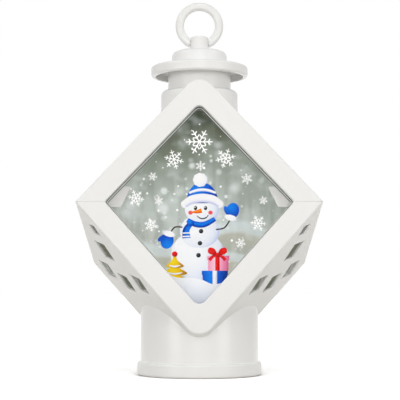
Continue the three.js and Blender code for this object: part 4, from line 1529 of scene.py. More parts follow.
@dataclass
class Cap:
    """The chimney cap: a boss on a domed top over a hanging brim, open underneath."""

    neck_top: float = 110.55
    foot: float = 108.2
    radius: float = 17.65
    edge: float = 111.95
    shoulder: float = 112.75
    wall: float = 1.6
    round: float = 0.9
    dome_radius: float = 10.05
    dome_top: float = 117.6
    dome_round: float = 2.0
    boss_radius: float = 3.3
    boss_flare: float = 0.2
    boss_top: float = 123.05
    boss_round: float = 0.5
    spigot_outer: float = 9.55
    spigot_wall: float = 1.2
    spigot_foot: float = 107.0
    post_radius: float = 3.0
    post_foot: float = 105.9
    pilot: float = 1.45
    pin_height: float = 120.8
    pin_hole: float = 1.1
    seat_gap: float = 0.05
    fillet: float = 0.3

    def outline(self) -> Turned:
        """The outline, from the boss down over the brim and up inside.

        Returns:
            The closed outline.
        """
        under, ceiling = self.neck_top + self.seat_gap, self.dome_top - self.wall
        brim, skirt = self.radius - self.round, self.radius - self.wall
        outer, inner = self.spigot_outer, self.spigot_outer - self.spigot_wall
        root = self.boss_radius + self.boss_flare
        shape = Turned().to((0, self.boss_top))
        shape.shoulder(self.boss_radius, self.boss_top, self.boss_round, 90, 0, 6)
        shape.arc((root + self.fillet, self.dome_top + self.fillet), self.fillet, 180, 270, 4)
        shape.shoulder(self.dome_radius, self.dome_top, self.dome_round, 90, 0, 12)
        shape.to((self.dome_radius, self.shoulder))
        shape.arc((brim, self.edge - self.round), self.round, 78, 0, 8)
        shape.arc((brim, self.foot + self.round), self.round, 0, -90, 8)
        shape.to((skirt, self.foot), (skirt, under), (outer, under), (outer, self.spigot_foot))
        shape.to((inner, self.spigot_foot), (inner, ceiling))
        shape.to((self.post_radius, ceiling), (self.post_radius, self.post_foot))
        return shape.to((self.pilot, self.post_foot), (self.pilot, ceiling), (0, ceiling))

    def build(self) -> None:
        """Builds the cap and its cross hole, and dresses its screw."""
        reach = self.boss_radius + 1
        turn = Matrix.Translation((0, 0, self.pin_height)) @ Matrix.Rotation(QUARTER_TURN, 4, "Y")
        hole = Solid.bar(self.pin_hole, -reach, reach, 0, 24).placed(turn)
        piece = (self.outline().solid() - hole).piece("cap_turned", WHITE_PLASTIC)
        join_model(piece, "chimney_cap")
        dress_nodes(STEEL, "cap_screw")


@dataclass
class Ring:
    """The hanging ring: an open loop of round wire whose two pins turn in the boss."""

    pivot: float = 120.8
    radius: float = 7.22
    wire: float = 1.54
    boss_radius: float = 3.3
    gap: float = 0.3
    pin_radius: float = 0.95
    pin_reach: float = 2.2
    run_in: float = 1.0
    arc_points: int = 97
    wire_sides: int = 32
    pin_sides: int = 24
    crease: float = 40.0

    def build(self) -> None:
        """Grows the ring along its arc, cuts its ends at the boss and sets its pins."""
        sheet = GeometryTree("ring_along_arc")
        radius = sheet.given("Ring radius", self.radius * MM)
        wire = sheet.given("Wire radius", self.wire * MM)
        lift = sqrt(self.radius**2 - self.boss_radius**2)
        rise = sheet.given("Centre height", (self.pivot + lift) * MM)
        pin_radius = sheet.given("Pin radius", self.pin_radius * MM)
        opening = asin((self.boss_radius - self.run_in) / self.radius)
        start = sheet.given("Start angle", opening - QUARTER_TURN)
        sweep = sheet.given("Sweep angle", 2 * (pi - opening))
        inputs = {"Radius": radius, "Resolution": self.arc_points, "Start Angle": start, "Sweep Angle": sweep}
        path = sheet.result("GeometryNodeCurveArc", inputs, mode="RADIUS")
        inputs = {"Radius": wire, "Resolution": self.wire_sides}
        section = sheet.result("GeometryNodeCurvePrimitiveCircle", inputs)
        inputs = {"Curve": path, "Profile Curve": section, "Fill Caps": True}
        loop = sheet.result("GeometryNodeCurveToMesh", inputs)
        loop = sheet.moved(loop, sheet.vector(z=rise), (QUARTER_TURN, 0, 0))
        end = self.boss_radius + self.gap
        low, high = self.pivot - self.boss_radius, self.pivot + lift - self.wire
        size = (2 * end * MM, 2 * self.boss_radius * MM, (high - low) * MM)
        inputs = {"Mesh 1": loop, "Mesh 2": sheet.block(size, (0, 0, (low + high) / 2 * MM))}
        cut = sheet.result("GeometryNodeMeshBoolean", inputs, operation="DIFFERENCE", solver="EXACT")
        pins = []
        length = self.pin_reach + self.wire
        for side in (1, -1):
            inputs = {"Vertices": self.pin_sides, "Radius": pin_radius, "Depth": length * MM}
            pin = sheet.result("GeometryNodeMeshCylinder", inputs)
            middle = side * (end - self.pin_reach + length / 2)
            pins.append(sheet.moved(pin, (middle * MM, 0, self.pivot * MM), (0, QUARTER_TURN, 0)))
        piece = sheet.grow("ring_wire", sheet.join(cut, *pins), WHITE_PLASTIC)
        soften(piece, self.crease)
        join_model(piece, "hanging_ring", body=Body.RING)


@dataclass
class ScrewRow:
    """Pan-head screws with cross recesses, set evenly round a circle with their heads down."""

    name: str
    replaced: tuple[str, ...]
    seat: float
    place_radius: float
    count: int = 3
    first_angle: float = 90.0
    head: float = 1.9
    head_height: float = 1.3
    shank: float = 0.8
    length: float = 8.0
    head_round: float = 0.65
    head_flat_share: float = 0.45
    thread_start: float = 1.0
    thread_pitch: float = 0.55
    thread_depth: float = 0.12
    thread_end: float = 2.0
    tip: float = 1.2
    recess_width: float = 0.5
    recess_length: float = 2.3
    recess_floor_share: float = 0.1
    sides: int = 40
    crease: float = 40.0

    def screw(self) -> Piece:
        """One screw with its head's seat at the origin.

        Returns:
            The screw, to be copied round.
        """
        root, rounding = self.shank - self.thread_depth, self.head_round
        shape = Turned().to((0, -self.head_height), (self.head * self.head_flat_share, -self.head_height))
        shape.arc((self.head - rounding, -rounding), rounding, -80, 0, 8)
        shape.to((self.head, 0), (self.shank, 0))
        threaded = self.length - self.thread_end - self.thread_start
        for i in range(int(threaded / self.thread_pitch)):
            height = self.thread_start + i * self.thread_pitch
            shape.to((root, height), (self.shank, height + self.thread_pitch / 2))
        screw = shape.to((root, self.length - self.tip), (0, self.length)).solid(self.sides)
        reach, width = self.recess_length / 2, self.recess_width / 2
        floor = -self.recess_floor_share * self.head_height
        recess = Solid.box((-reach, -width, -2 * self.head_height), (reach, width, floor))
        for turn in (0, QUARTER_TURN):
            screw = screw - recess.placed(Matrix.Rotation(turn, 4, "Z"))
        return screw.piece(f"{self.name}_master", STEEL)

    def build(self) -> None:
        """Grows the row of screws."""
        master = self.screw()
        sheet = GeometryTree("screws_round_circle")
        count = sheet.given("Count", self.count, "NodeSocketInt")
        radius = sheet.given("Place radius", self.place_radius * MM)
        height = sheet.given("Seat height", self.seat * MM)
        angle = sheet.given("First angle", radians(self.first_angle))
        screw = sheet.given("Screw", master, "NodeSocketObject")
        circle = sheet.result("GeometryNodeMeshCircle", {"Vertices": count, "Radius": radius})
        shape = sheet.add("GeometryNodeObjectInfo", {"Object": screw}).outputs["Geometry"]
        turned = sheet.moved(sheet.copies(circle, shape), sheet.vector(z=height), sheet.vector(z=angle))
        piece = sheet.grow(self.name, turned, STEEL)
        bpy.data.objects.remove(master)
        soften(piece, self.crease)
        join_model(piece, *self.replaced, slot=Slot.STEEL)


@dataclass
class SwitchKnob:
    """The slide switch's knob: a stem with a ribbed grip, off at rest."""

    place: float = 15.04
    off: float = -1.0
    foot: float = 0.35
    grip: tuple[float, float, float] = (3.0, 2.6, 0.35)
    stem: tuple[float, float] = (1.7, 1.5)
    stem_top: float = 4.55
    rib_count: int = 5
    rib_pitch: float = 0.52
    rib_width: float = 0.22
    rib_height: float = 0.12
    rib_length_share: float = 0.94

    def build(self) -> None:
        """Grows the knob and its ribs."""
        sheet = GeometryTree("ribbed_knob")
        count = sheet.given("Rib count", self.rib_count, "NodeSocketInt")
        pitch = sheet.given("Rib pitch", self.rib_pitch * MM)
        width = sheet.given("Rib width", self.rib_width * MM)
        length, breadth, thickness = self.grip
        top, grip_foot = self.foot + thickness, self.foot + self.rib_height
        stem_size = (self.stem[0] * MM, self.stem[1] * MM, (self.stem_top - top) * MM)
        stem = sheet.block(stem_size, (0, 0, (self.stem_top + top) / 2 * MM))
        grip_size = (length * MM, breadth * MM, (top - grip_foot) * MM)
        grip = sheet.block(grip_size, (0, 0, (grip_foot + top) / 2 * MM))
        rib = sheet.block(sheet.vector(width, breadth * self.rib_length_share * MM, 2 * self.rib_height * MM))
        first = sheet.vector(-self.rib_pitch * (self.rib_count - 1) / 2 * MM, 0.0, grip_foot * MM)
        inputs = {"Count": count, "Start Location": first, "Offset": sheet.vector(pitch)}
        row = sheet.result("GeometryNodeMeshLine", inputs, mode="OFFSET")
        whole = sheet.join(stem, grip, sheet.copies(row, rib))
        whole = sheet.moved(whole, (self.off * MM, -self.place * MM, 0))
        piece = sheet.grow("switch_knob", whole, BLACK_PLASTIC)
        join_model(piece, "switch_slider", body=Body.SWITCH, slot=Slot.BLACK)


@dataclass
class Base:
    """The round base: cover, battery lid, screws, switch, cells and their contacts."""

    lip_radius: float = 22.5
    lip_width: float = 2.2
    lip_height: float = 4.85
    lip_round: float = 0.9
    lip_overlap: float = 0.2
    core_reach: float = 99.0
    screw_nodes: tuple[str, ...] = ("base_screw_1", "base_screw_2", "base_screw_3")
    screw_seat: float = 3.2
    screw_place: float = 17.5
    lid_crease: float = 52.0
    brass_nodes: tuple[str, ...] = ("lid_contact", "side_strip", "contact_spring")
    steel_nodes: tuple[str, ...] = ("switch_body", "cell_1", "cell_2", "cell_3")

    def cover(self) -> None:
        """Moulds the cover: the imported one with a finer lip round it."""
        inner, middle = self.lip_radius - self.lip_width, self.lip_radius - self.lip_round
        core_top = 2 * self.lip_height + self.core_reach
        core = Solid.of_node("base_cover") & Solid.bar(inner, -1, core_top, 0, ROUND)
        lip = Turned().to((inner - self.lip_overlap, 0))
        lip.arc((middle, self.lip_round), self.lip_round, -90, 0)
        lip.arc((middle, self.lip_height - self.lip_round), self.lip_round, 0, 90)
        lip.to((inner - self.lip_overlap, self.lip_height))
        piece = (core + lip.solid()).piece("base_cover_moulded", WHITE_PLASTIC)
        join_model(piece, "base_cover")

    def lid(self) -> None:
        """Moulds the battery lid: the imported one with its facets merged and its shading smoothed."""
        piece = Solid.of_node("battery_lid").piece("battery_lid_moulded", WHITE_PLASTIC, self.lid_crease)
        join_model(piece, "battery_lid", body=Body.LID)

    def build(self) -> None:
        """Builds the moulded parts, the screws and the knob, and dresses the rest."""
        self.cover()
        self.lid()
        ScrewRow("base_screws", self.screw_nodes, self.screw_seat, self.screw_place).build()
        SwitchKnob().build()
        dress_nodes(BRASS, *self.brass_nodes)
        dress_nodes(STEEL, *self.steel_nodes)


@dataclass
class LightBoard:
    """The board over the battery tube, with its lamps, resistor, leads and screws."""

    lamp_nodes: tuple[str, ...] = ("front_lamp", "rear_lamp")
    screw_nodes: tuple[str, ...] = ("board_screw_left", "board_screw_right")

    def build(self) -> None:
        """Dresses the board's nodes."""
        dress_nodes(BOARD_LACQUER, "light_board")
        dress_nodes(LAMP_LENS, *self.lamp_nodes)
        dress_nodes(RESISTOR, "resistor")
        dress_nodes(RED_LEAD, "red_lead")
        dress_nodes(BLACK_LEAD, "black_lead")
        dress_nodes(STEEL, *self.screw_nodes)


def turned(centre: Point2, across: float, up: float, lean: float) -> Point2:
    """A point from how far it lies across and up from a centre, before a turn in radians about that."""
    right, rise = cos(lean), sin(lean)
    return (centre[0] + across * right - up * rise, centre[1] + across * rise + up * right)


def between(start: Point2, end: Point2, share: float) -> Point2:
    """The point at a share of the way from one point to another."""
    return (start[0] + (end[0] - start[0]) * share, start[1] + (end[1] - start[1]) * share)


def middle_of(outline: Outline) -> Point2:
    """The mean of an outline's points."""
    return (sum(x for x, _ in outline) / len(outline), sum(z for _, z in outline) / len(outline))


def shifted(centre: Point2, *offsets: Point2) -> list[Point2]:
    """Points from their offsets to a centre."""
    return [(centre[0] + across, centre[1] + up) for across, up in offsets]


def ellipse(centre: Point2, reach: Point2, turn: float = 0.0, steps: int = 48) -> list[Point2]:
    """Points round an ellipse.

    Args:
        centre: Its centre.
        reach: Its half width and half height.
        turn: How far it is turned, in degrees.
        steps: How many points it has.

    Returns:
        The points, anticlockwise.
    """
    lean = radians(turn)
    spots = [(reach[0] * cos(angle), reach[1] * sin(angle)) for angle in full_turn(steps)]
    return [turned(centre, *spot, lean) for spot in spots]


def fluffy(outline: Outline, lobes: int, depth: float) -> list[Point2]:
    """An outline with soft lobes, as of wool or fur.

    Args:
        outline: The plain outline.
        lobes: How many lobes go round.
        depth: How deep the dips between them are, as a share of the reach.

    Returns:
        The lobed outline.
    """
    middle = middle_of(outline)
    swings = [abs(sin(pi * lobes * i / len(outline))) for i in range(len(outline))]
    return [between(middle, spot, 1 - depth * (1 - swing)) for spot, swing in zip(outline, swings)]


def smooth_path(points: Outline, steps: int = 8) -> list[Point2]:
    """A smooth curve through points.

    Args:
        points: The points that it goes through.
        steps: How many steps it takes between two of them.

    Returns:
        The points along it.
    """
    padded = [points[0], *points, points[-1]]
    curve = []
    for spots in zip(padded, padded[1:], padded[2:], padded[3:]):
        for i in range(steps):
            t = i / steps
            spot = []
            for p, q, r, s in zip(*spots):
                bends = (2 * p - 5 * q + 4 * r - s) * t**2 + (3 * q - p - 3 * r + s) * t**3
                spot.append(0.5 * (2 * q + (r - p) * t + bends))
            curve.append(tuple(spot))
    curve.append(points[-1])
    return curve


def closed_path(points: Outline, steps: int) -> list[Point2]:
    """A smooth outline that starts and ends at the first of its points."""
    return smooth_path([*points, points[0]], steps)[:-1]


@dataclass
class PrintSheet:
    """A print behind a pane: thin inked shapes in layers, the later ones nearer the pane."""

    name: str
    window: Window
    back: float = 17.88
    layer_step: float = 0.022
    ink_depth: float = 0.016
    fill_rings: int = 7

    def __post_init__(self) -> None:
        """Starts an empty sheet."""
        self.draft = bmesh.new()
        self.shade = self.draft.verts.layers.float.new("shade")
        self.inks: list[Ink] = []

    def point(self, x: float, z: float, layer: int, shade: float) -> Vert:
        """A point of the print.

        Args:
            x: Its place across, in millimetres.
            z: Its height, in millimetres.
            layer: Its layer, from 0 at the back.
            shade: Its shade from 0, light, to 1, deep.

        Returns:
            The new point.
        """
        depth = -(self.back + self.ink_depth + layer * self.layer_step)
        vert = self.draft.verts.new((x * MM, depth * MM, z * MM))
        vert[self.shade] = min(1.0, max(0.0, shade))
        return vert

    def patch(self, rows: Sequence[Row], ink: Ink, closed: bool) -> None:
        """Faces between rows of points.

        Args:
            rows: The rows, each of one length, or of one point.
            ink: Their ink.
            closed: Whether each row runs round.
        """
        if ink not in self.inks:
            self.inks.append(ink)
        for first, second in zip(rows, rows[1:]):
            count = max(len(first), len(second))
            for i in range(count if closed else count - 1):
                face = panel(self.draft, first, second, i)
                face.material_index = self.inks.index(ink)
                face.normal_update()
                if face.normal.y > 0:
                    face.normal_flip()

    def fill(
        self, outline: Outline, ink: Ink, layer: int, light: Point2, reach: float, power: float = 1.4
    ) -> None:
        """An inked shape, lightest at one point and deeper away from it.

        Args:
            outline: Its outline in millimetres.
            ink: Its ink.
            layer: Its layer.
            light: Its lightest point.
            reach: How far from there it is deepest.
            power: How late it deepens.
        """
        middle = middle_of(outline)
        rows = []
        for k in range(self.fill_rings + 1):
            spots = [between(middle, spot, k / self.fill_rings) for spot in (outline if k else outline[:1])]
            shades = [(dist(spot, light) / reach) ** power for spot in spots]
            rows.append([self.point(*spot, layer, shade) for spot, shade in zip(spots, shades)])
        self.patch(rows, ink, True)

    def stroke(
        self, path: Outline, widths: Sequence[float], ink: Ink, layer: int, lit: float = -0.3, across: int = 5
    ) -> None:
        """An inked stroke along a smooth path.

        Args:
            path: The points it goes through, in millimetres.
            widths: Its widths, spread evenly along it.
            ink: Its ink.
            layer: Its layer.
            lit: Where across it is lightest, from -1 on its right to 1 on its left.
            across: How many faces go across it.
        """
        curve = smooth_path(path)
        rows = []
        for i, (x, z) in enumerate(curve):
            ahead, behind = curve[min(i + 1, len(curve) - 1)], curve[max(i - 1, 0)]
            along = Vector((ahead[0] - behind[0], ahead[1] - behind[1])).normalized()
            where = i / (len(curve) - 1) * (len(widths) - 1)
            low = min(int(where), len(widths) - 2)
            width = widths[low] + (widths[low + 1] - widths[low]) * (where - low)
            row = []
            for k in range(across + 1):
                off = 2 * k / across - 1
                spot = (x - along.y * off * width / 2, z + along.x * off * width / 2)
                row.append(self.point(*spot, layer, abs(off - lit) / (1 + abs(lit))))
            rows.append(row)
        self.patch(rows, ink, False)

    def build(self) -> None:
        """Makes the piece, turned to its window, with a thin closed body for each shape."""
        mesh = bpy.data.meshes.new(self.name)
        bmesh.ops.remove_doubles(self.draft, verts=self.draft.verts, dist=SAME_SPOT)
        self.draft.to_mesh(mesh)
        self.draft.free()
        mesh.transform(Matrix.Rotation(radians(self.window.value), 4, "Z"))
        for ink in self.inks:
            mesh.materials.append(ink.value.material())
        piece = plain_object(self.name, mesh)
        configured(piece.modifiers.new("ink_depth", "SOLIDIFY"), thickness=self.ink_depth * MM, offset=-1)
        join_model(piece, slot=Slot.PICTURE)


@dataclass
class WindowPrint:
    """A picture that is printed behind a window."""

    window: Window
    kind: ClassVar[str]

    def __post_init__(self) -> None:
        """Starts the sheet."""
        self.sheet = PrintSheet(f"{self.window.name.lower()}_{self.kind}_print", self.window)

    def draw(self) -> None:
        """Draws the picture."""
        raise NotImplementedError

    def build(self) -> None:
        """Prints the picture behind its window."""
        self.draw()
        self.sheet.build()


@dataclass
class Snowman(WindowPrint):
    """The printed snowman: three balls of snow with a hat, a scarf, twig arms and mittens."""

    kind = "snowman"
    lower: Point2 = (-0.6, 42.6)
    lower_reach: Point2 = (9.4, 8.5)
    middle: Point2 = (0.1, 51.0)
    middle_reach: Point2 = (6.9, 5.9)
    head: Point2 = (0.9, 58.8)
    head_reach: Point2 = (6.0, 5.4)

    def snow(self) -> None:
        """The three balls."""
        middles = (self.lower, self.middle, self.head)
        reaches = (self.lower_reach, self.middle_reach, self.head_reach)
        for layer, ((x, z), (wide, high)) in enumerate(zip(middles, reaches), 1):
            light = (x - wide * 0.3, z + high * 0.25)
            self.sheet.fill(ellipse((x, z), (wide, high)), Ink.SNOW, layer, light, wide * 1.42, 2.2)

    def hat(self) -> None:
        """The knitted hat with its stripe, band and bobble."""
        x, z = self.head
        dome = [spot for spot in ellipse((x + 0.2, z + 2.3), (5.5, 7.0), 4, 72) if spot[1] > z + 1.6]
        self.sheet.fill(dome, Ink.BLUE, 4, (x - 1.8, z + 6.6), 8.2, 1.1)
        stripe = shifted(self.head, (-4.45, 5.6), (-2.2, 6.4), (0.2, 6.7), (2.6, 6.4), (4.85, 5.6))
        self.sheet.stroke(stripe, [0.8, 0.95, 1.0, 0.95, 0.8], Ink.WOOL, 5, 0.3)
        bobble = fluffy(ellipse((x - 0.6, z + 10.2), (2.6, 2.5), 0, 72), 9, 0.07)
        self.sheet.fill(bobble, Ink.WOOL, 5, (x - 1.2, z + 11.0), 4.4, 1.8)
        band = shifted(self.head, (-6.2, 1.6), (-3.6, 3.2), (0.2, 3.8), (3.9, 3.2), (6.4, 1.6))
        for end, lean in ((band[0], 20), (band[-1], -25)):
            tuft = fluffy(ellipse(end, (1.15, 1.35), lean), 6, 0.08)
            self.sheet.fill(tuft, Ink.WOOL, 5, (end[0], end[1] + 0.6), 3.4)
        self.sheet.stroke(band, [2.4, 3.0, 3.1, 3.0, 2.4], Ink.WOOL, 6, 0.4)

    def face(self) -> None:
        """Eyes, carrot nose, smile and cheeks."""
        x, z = self.head
        for side in (-1, 1):
            eye = (x - 0.5 + 1.75 * side, z + 0.3)
            self.sheet.fill(ellipse(eye, (0.58, 0.74)), Ink.COAL, 4, (eye[0] - 0.2, eye[1] + 0.3), 0.9)
            glint = ellipse((eye[0] - 0.18, eye[1] + 0.26), (0.19, 0.22), 0, 12)
            self.sheet.fill(glint, Ink.WOOL, 5, eye, 9.0)
            cheek = (x - 0.5 + 3.5 * side, z - 1.3)
            self.sheet.fill(ellipse(cheek, (0.85, 0.75), 0, 24), Ink.ROSE, 4, cheek, 0.9)
        nose = shifted(self.head, (-0.1, -0.6), (-1.8, -1.0), (-4.0, -1.2))
        self.sheet.stroke(nose, [1.6, 1.2, 0.12], Ink.CARROT, 5)
        mouth = shifted(self.head, (-1.8, -2.4), (-0.5, -3.3), (1.2, -3.2), (2.3, -2.1))
        self.sheet.stroke(mouth, [0.18, 0.42, 0.42, 0.18], Ink.COAL, 4, 0.0, 3)

    def scarf(self) -> None:
        """The scarf round the neck with its striped end hanging to the left."""
        x, z = self.middle
        tail = shifted(self.middle, (-3.2, 2.6), (-4.7, 0.4), (-4.6, -2.4))
        self.sheet.stroke(tail, [1.7, 2.3, 2.9], Ink.BLUE, 5, 0.35)
        for up in (-0.7, -1.9):
            self.sheet.stroke([(x - 5.95, z + up), (x - 3.35, z + up + 0.1)], [0.5, 0.5], Ink.WOOL, 6, 0.2)
        collar = shifted(self.middle, (-4.3, 3.9), (-1.6, 2.5), (1.7, 2.4), (5.4, 4.3))
        self.sheet.stroke(collar, [1.5, 2.0, 2.0, 1.5], Ink.BLUE, 6, 0.3)
        knot = ellipse((x - 3.2, z + 2.9), (1.25, 1.2), -20)
        self.sheet.fill(knot, Ink.BLUE, 7, (x - 3.5, z + 3.4), 1.9)

    def mitten(self, wrist: Point2, lean: float, thumb: int) -> None:
        """A plain mitten with a white cuff.

        Args:
            wrist: Where the twig meets it.
            lean: Its turn from upright, in degrees.
            thumb: The side its thumb is on, 1 or -1.
        """
        turn = radians(lean)
        light = turned(wrist, -0.8, 4.4, turn)
        finger = ellipse(turned(wrist, 1.9 * thumb, 2.6, turn), (0.85, 1.75), lean - 38 * thumb, 32)
        self.sheet.fill(finger, Ink.BLUE, 5, light, 5.6)
        palm = ellipse(turned(wrist, -0.1 * thumb, 3.1, turn), (2.25, 2.75), lean)
        self.sheet.fill(palm, Ink.BLUE, 6, light, 4.6, 1.3)
        cuff = fluffy(ellipse(turned(wrist, 0, 0.5, turn), (2.25, 1.05), lean), 9, 0.07)
        self.sheet.fill(cuff, Ink.WOOL, 7, turned(wrist, -0.6, 0.8, turn), 3.4)

    def arms(self) -> None:
        """The twig arms: the right one waves, the left one hangs."""
        x, z = self.middle
        right = shifted(self.middle, (5.7, 0.6), (8.6, 1.2), (10.6, 3.9))
        left = shifted(self.middle, (-6.0, 1.4), (-8.6, 1.4), (-10.2, -0.4))
        hands = ((right, (x + 10.7, z + 4.2), -14, -1), (left, (x - 10.6, z - 0.4), 164, 1))
        for twig, wrist, lean, thumb in hands:
            self.sheet.stroke(twig, [0.42, 0.5, 0.42], Ink.TWIG, 4, 0.0, 3)
            self.mitten(wrist, lean, thumb)

    def buttons(self) -> None:
        """Coal buttons down the front."""
        for x, z in ((0.6, 51.0), (0.2, 46.8), (-0.3, 42.6)):
            self.sheet.fill(ellipse((x, z), (0.78, 0.78), 0, 24), Ink.COAL, 4, (x - 0.25, z + 0.3), 1.1)

    def draw(self) -> None:
        """Draws the snowman from the snow up."""
        for part in (self.snow, self.hat, self.face, self.scarf, self.arms, self.buttons):
            part()


@dataclass
class Parcel:
    """One printed present: a box with a lid and a ribbon, and a bow where it has one."""

    left: float
    right: float
    foot: float
    top: float
    paper: Ink
    ribbon: Ink
    ribbon_share: float = 0.5
    ribbon_width: float = 1.6
    bow_reach: float = 0.0
    lid_height: float = 1.5
    lid_overhang: float = 0.3
    layer: int = 6

    def draw(self, sheet: PrintSheet) -> None:
        """Draws the present on a sheet.

        Args:
            sheet: The sheet it is printed on.
        """
        lid = self.top - self.lid_height
        middle = (self.left + self.right) / 2
        over = self.lid_overhang
        parts = ((-over, self.foot, lid, self.layer), (over, lid, self.top, self.layer + 1))
        for wide, low, high, layer in parts:
            width = self.right - self.left + wide
            sheet.stroke([(middle, low), (middle, high)], [width, width], self.paper, layer, 0.3, 6)
        x = self.left + (self.right - self.left) * self.ribbon_share
        widths = [self.ribbon_width, self.ribbon_width]
        sheet.stroke([(x, self.foot), (x, self.top)], widths, self.ribbon, self.layer + 2, 0.3)
        if self.bow_reach:
            self.bow(sheet, (x, self.top + 0.4))

    def bow(self, sheet: PrintSheet, knot: Point2) -> None:
        """Draws the bow, with its knot at a point.

        Args:
            sheet: The sheet it is printed on.
            knot: Where its knot is.
        """
        x, z = knot
        rise = self.bow_reach
        for side in (-1, 1):
            reach = side * rise
            tail = [(x + 0.1 * side, z), (x + reach * 0.5, z - 0.7), (x + reach * 0.85, z - 1.9)]
            sheet.stroke(tail, [0.7, 1.0, 1.2], self.ribbon, self.layer + 3 - (side > 0), 0.2)
            loop = [(x + 0.05 * side, z), (x + reach * 0.3, z + rise * 0.6)]
            loop += [(x + reach * 0.85, z + rise * 0.74), (x + reach, z + rise * 0.25)]
            loop += [(x + reach * 0.5, z - 0.1)]
            light = (x + reach * 0.65, z + rise * 0.5)
            outline = closed_path(loop, 6)
            sheet.fill(outline, self.ribbon, self.layer + 3 + (side > 0), light, rise * 0.75, 1.2)
        sheet.fill(ellipse(knot, (0.75, 0.7), 0, 24), self.ribbon, self.layer + 5, (x - 0.2, z + 0.3), 1.1)


@dataclass
class SmallFir:
    """A small printed fir in gold with frosted tiers and a bauble on top."""

    x: float = -8.6
    tiers: tuple[tuple[float, float, float], ...] = ((32.6, 5.4, 5.4), (35.6, 4.4, 4.8), (38.2, 3.2, 4.4))
    hem: tuple[Point2, ...] = ((-1.0, 0.16), (-0.55, 0.0), (0.0, -0.06), (0.55, 0.0), (1.0, 0.16))
    slopes: tuple[Point2, ...] = ((0.36, 0.55), (0.0, 1.0), (-0.36, 0.55))
    frost: tuple[Point2, ...] = ((-0.6, 0.2), (0, 0.1), (0.6, 0.2))

    def draw(self, sheet: PrintSheet) -> None:
        """Draws the fir on a sheet, from its lowest tier up.

        Args:
            sheet: The sheet it is printed on.
        """
        for number, (foot, reach, height) in enumerate(self.tiers):
            outline = (*self.hem, *self.slopes)
            corners = [(self.x + reach * across, foot + height * up) for across, up in outline]
            light = (self.x - reach * 0.3, foot + height * 0.5)
            sheet.fill(closed_path(corners, 5), Ink.GOLD, 5 + number, light, reach * 1.1, 1.2)
            snow = [(self.x + reach * across, foot + height * up) for across, up in self.frost]
            sheet.stroke(snow, [0.3, 0.7, 0.3], Ink.WOOL, 8, 0.4, 3)
        top = self.tiers[-1][0] + self.tiers[-1][2]
        bauble = ellipse((self.x, top + 0.4), (0.95, 0.95), 0, 24)
        sheet.fill(bauble, Ink.RED, 9, (self.x - 0.3, top + 0.8), 1.3)


EdgeLine = tuple[float, float, float, Ink]


@dataclass
class PaintedEdgeShading(WindowPrint):
    """Painted shade and highlight along the window's edges: dark lines and a pale one above, a grey one below.
    """

    kind = "picture_edge"
    body: DiamondBody
    # upper edges: dark painted shade for the return's shaded underside, a pale painted highlight in the crystal
    # ink for the lit frame ledge, and dark painted shade for the frame's shadow on the picture
    upper_lines: tuple[EdgeLine, ...] = (
        (0.36, -0.127, 0.7, Ink.OLIVE),
        (-0.13, -0.38, 0.6, Ink.CRYSTAL),
        (-0.383, -0.66, 0.95, Ink.OLIVE),
    )
    # lower edges: one grey painted shade line
    lower_lines: tuple[EdgeLine, ...] = ((0.1, -0.16, 0.45, Ink.OLIVE),)

    def draw(self) -> None:
        """Draws the lines."""
        plain = self.body.window()
        for lines, side in ((self.upper_lines, 1), (self.lower_lines, -1)):
            kept = [i for i, spot in enumerate(plain) if side * (spot[1] - self.body.seam_height) > -LEVEL]
            kept.sort(key=lambda i: plain[i][0])
            for outer, inner, shade, ink in lines:
                rings = [self.body.window(grow) for grow in (outer, inner)]
                rows = [[self.sheet.point(*ring[i], 0, shade) for i in kept] for ring in rings]
                self.sheet.patch(rows, ink, False)


@dataclass
class Lowland(WindowPrint):
    """The foot of the print: a small fir and two stacked presents on a mound of snow."""

    kind = "lowland"
    parcels: tuple[Parcel, ...] = (
        Parcel(1.0, 9.8, 30.0, 37.2, Ink.BLUE, Ink.WOOL, 0.5, 1.6),
        Parcel(2.9, 10.3, 37.2, 42.4, Ink.PINK, Ink.RED, 0.46, 1.5, 3.3),
    )
    mound: tuple[Point2, ...] = (
        (-13.5, 38.0),
        (-8.6, 35.0),
        (-3.4, 34.8),
        (0.6, 34.2),
        (4.6, 32.6),
        (8.8, 33.4),
        (13.5, 37.2),
    )
    mound_foot: float = 23.4
    mound_rows: int = 5

    def draw(self) -> None:
        """Draws the fir, the presents and the mound in front of them."""
        for thing in (SmallFir(), *self.parcels):
            thing.draw(self.sheet)
        crest = smooth_path(self.mound, 6)
        rows = []
        for k in range(self.mound_rows + 1):
            share = k / self.mound_rows
            row = [(x * (1 - share * 0.6), z + (self.mound_foot - z) * share) for x, z in crest]
            rows.append([self.sheet.point(*spot, 11, 0.08 + 0.6 * share) for spot in row])
        self.sheet.patch(rows, Ink.SNOW, False)


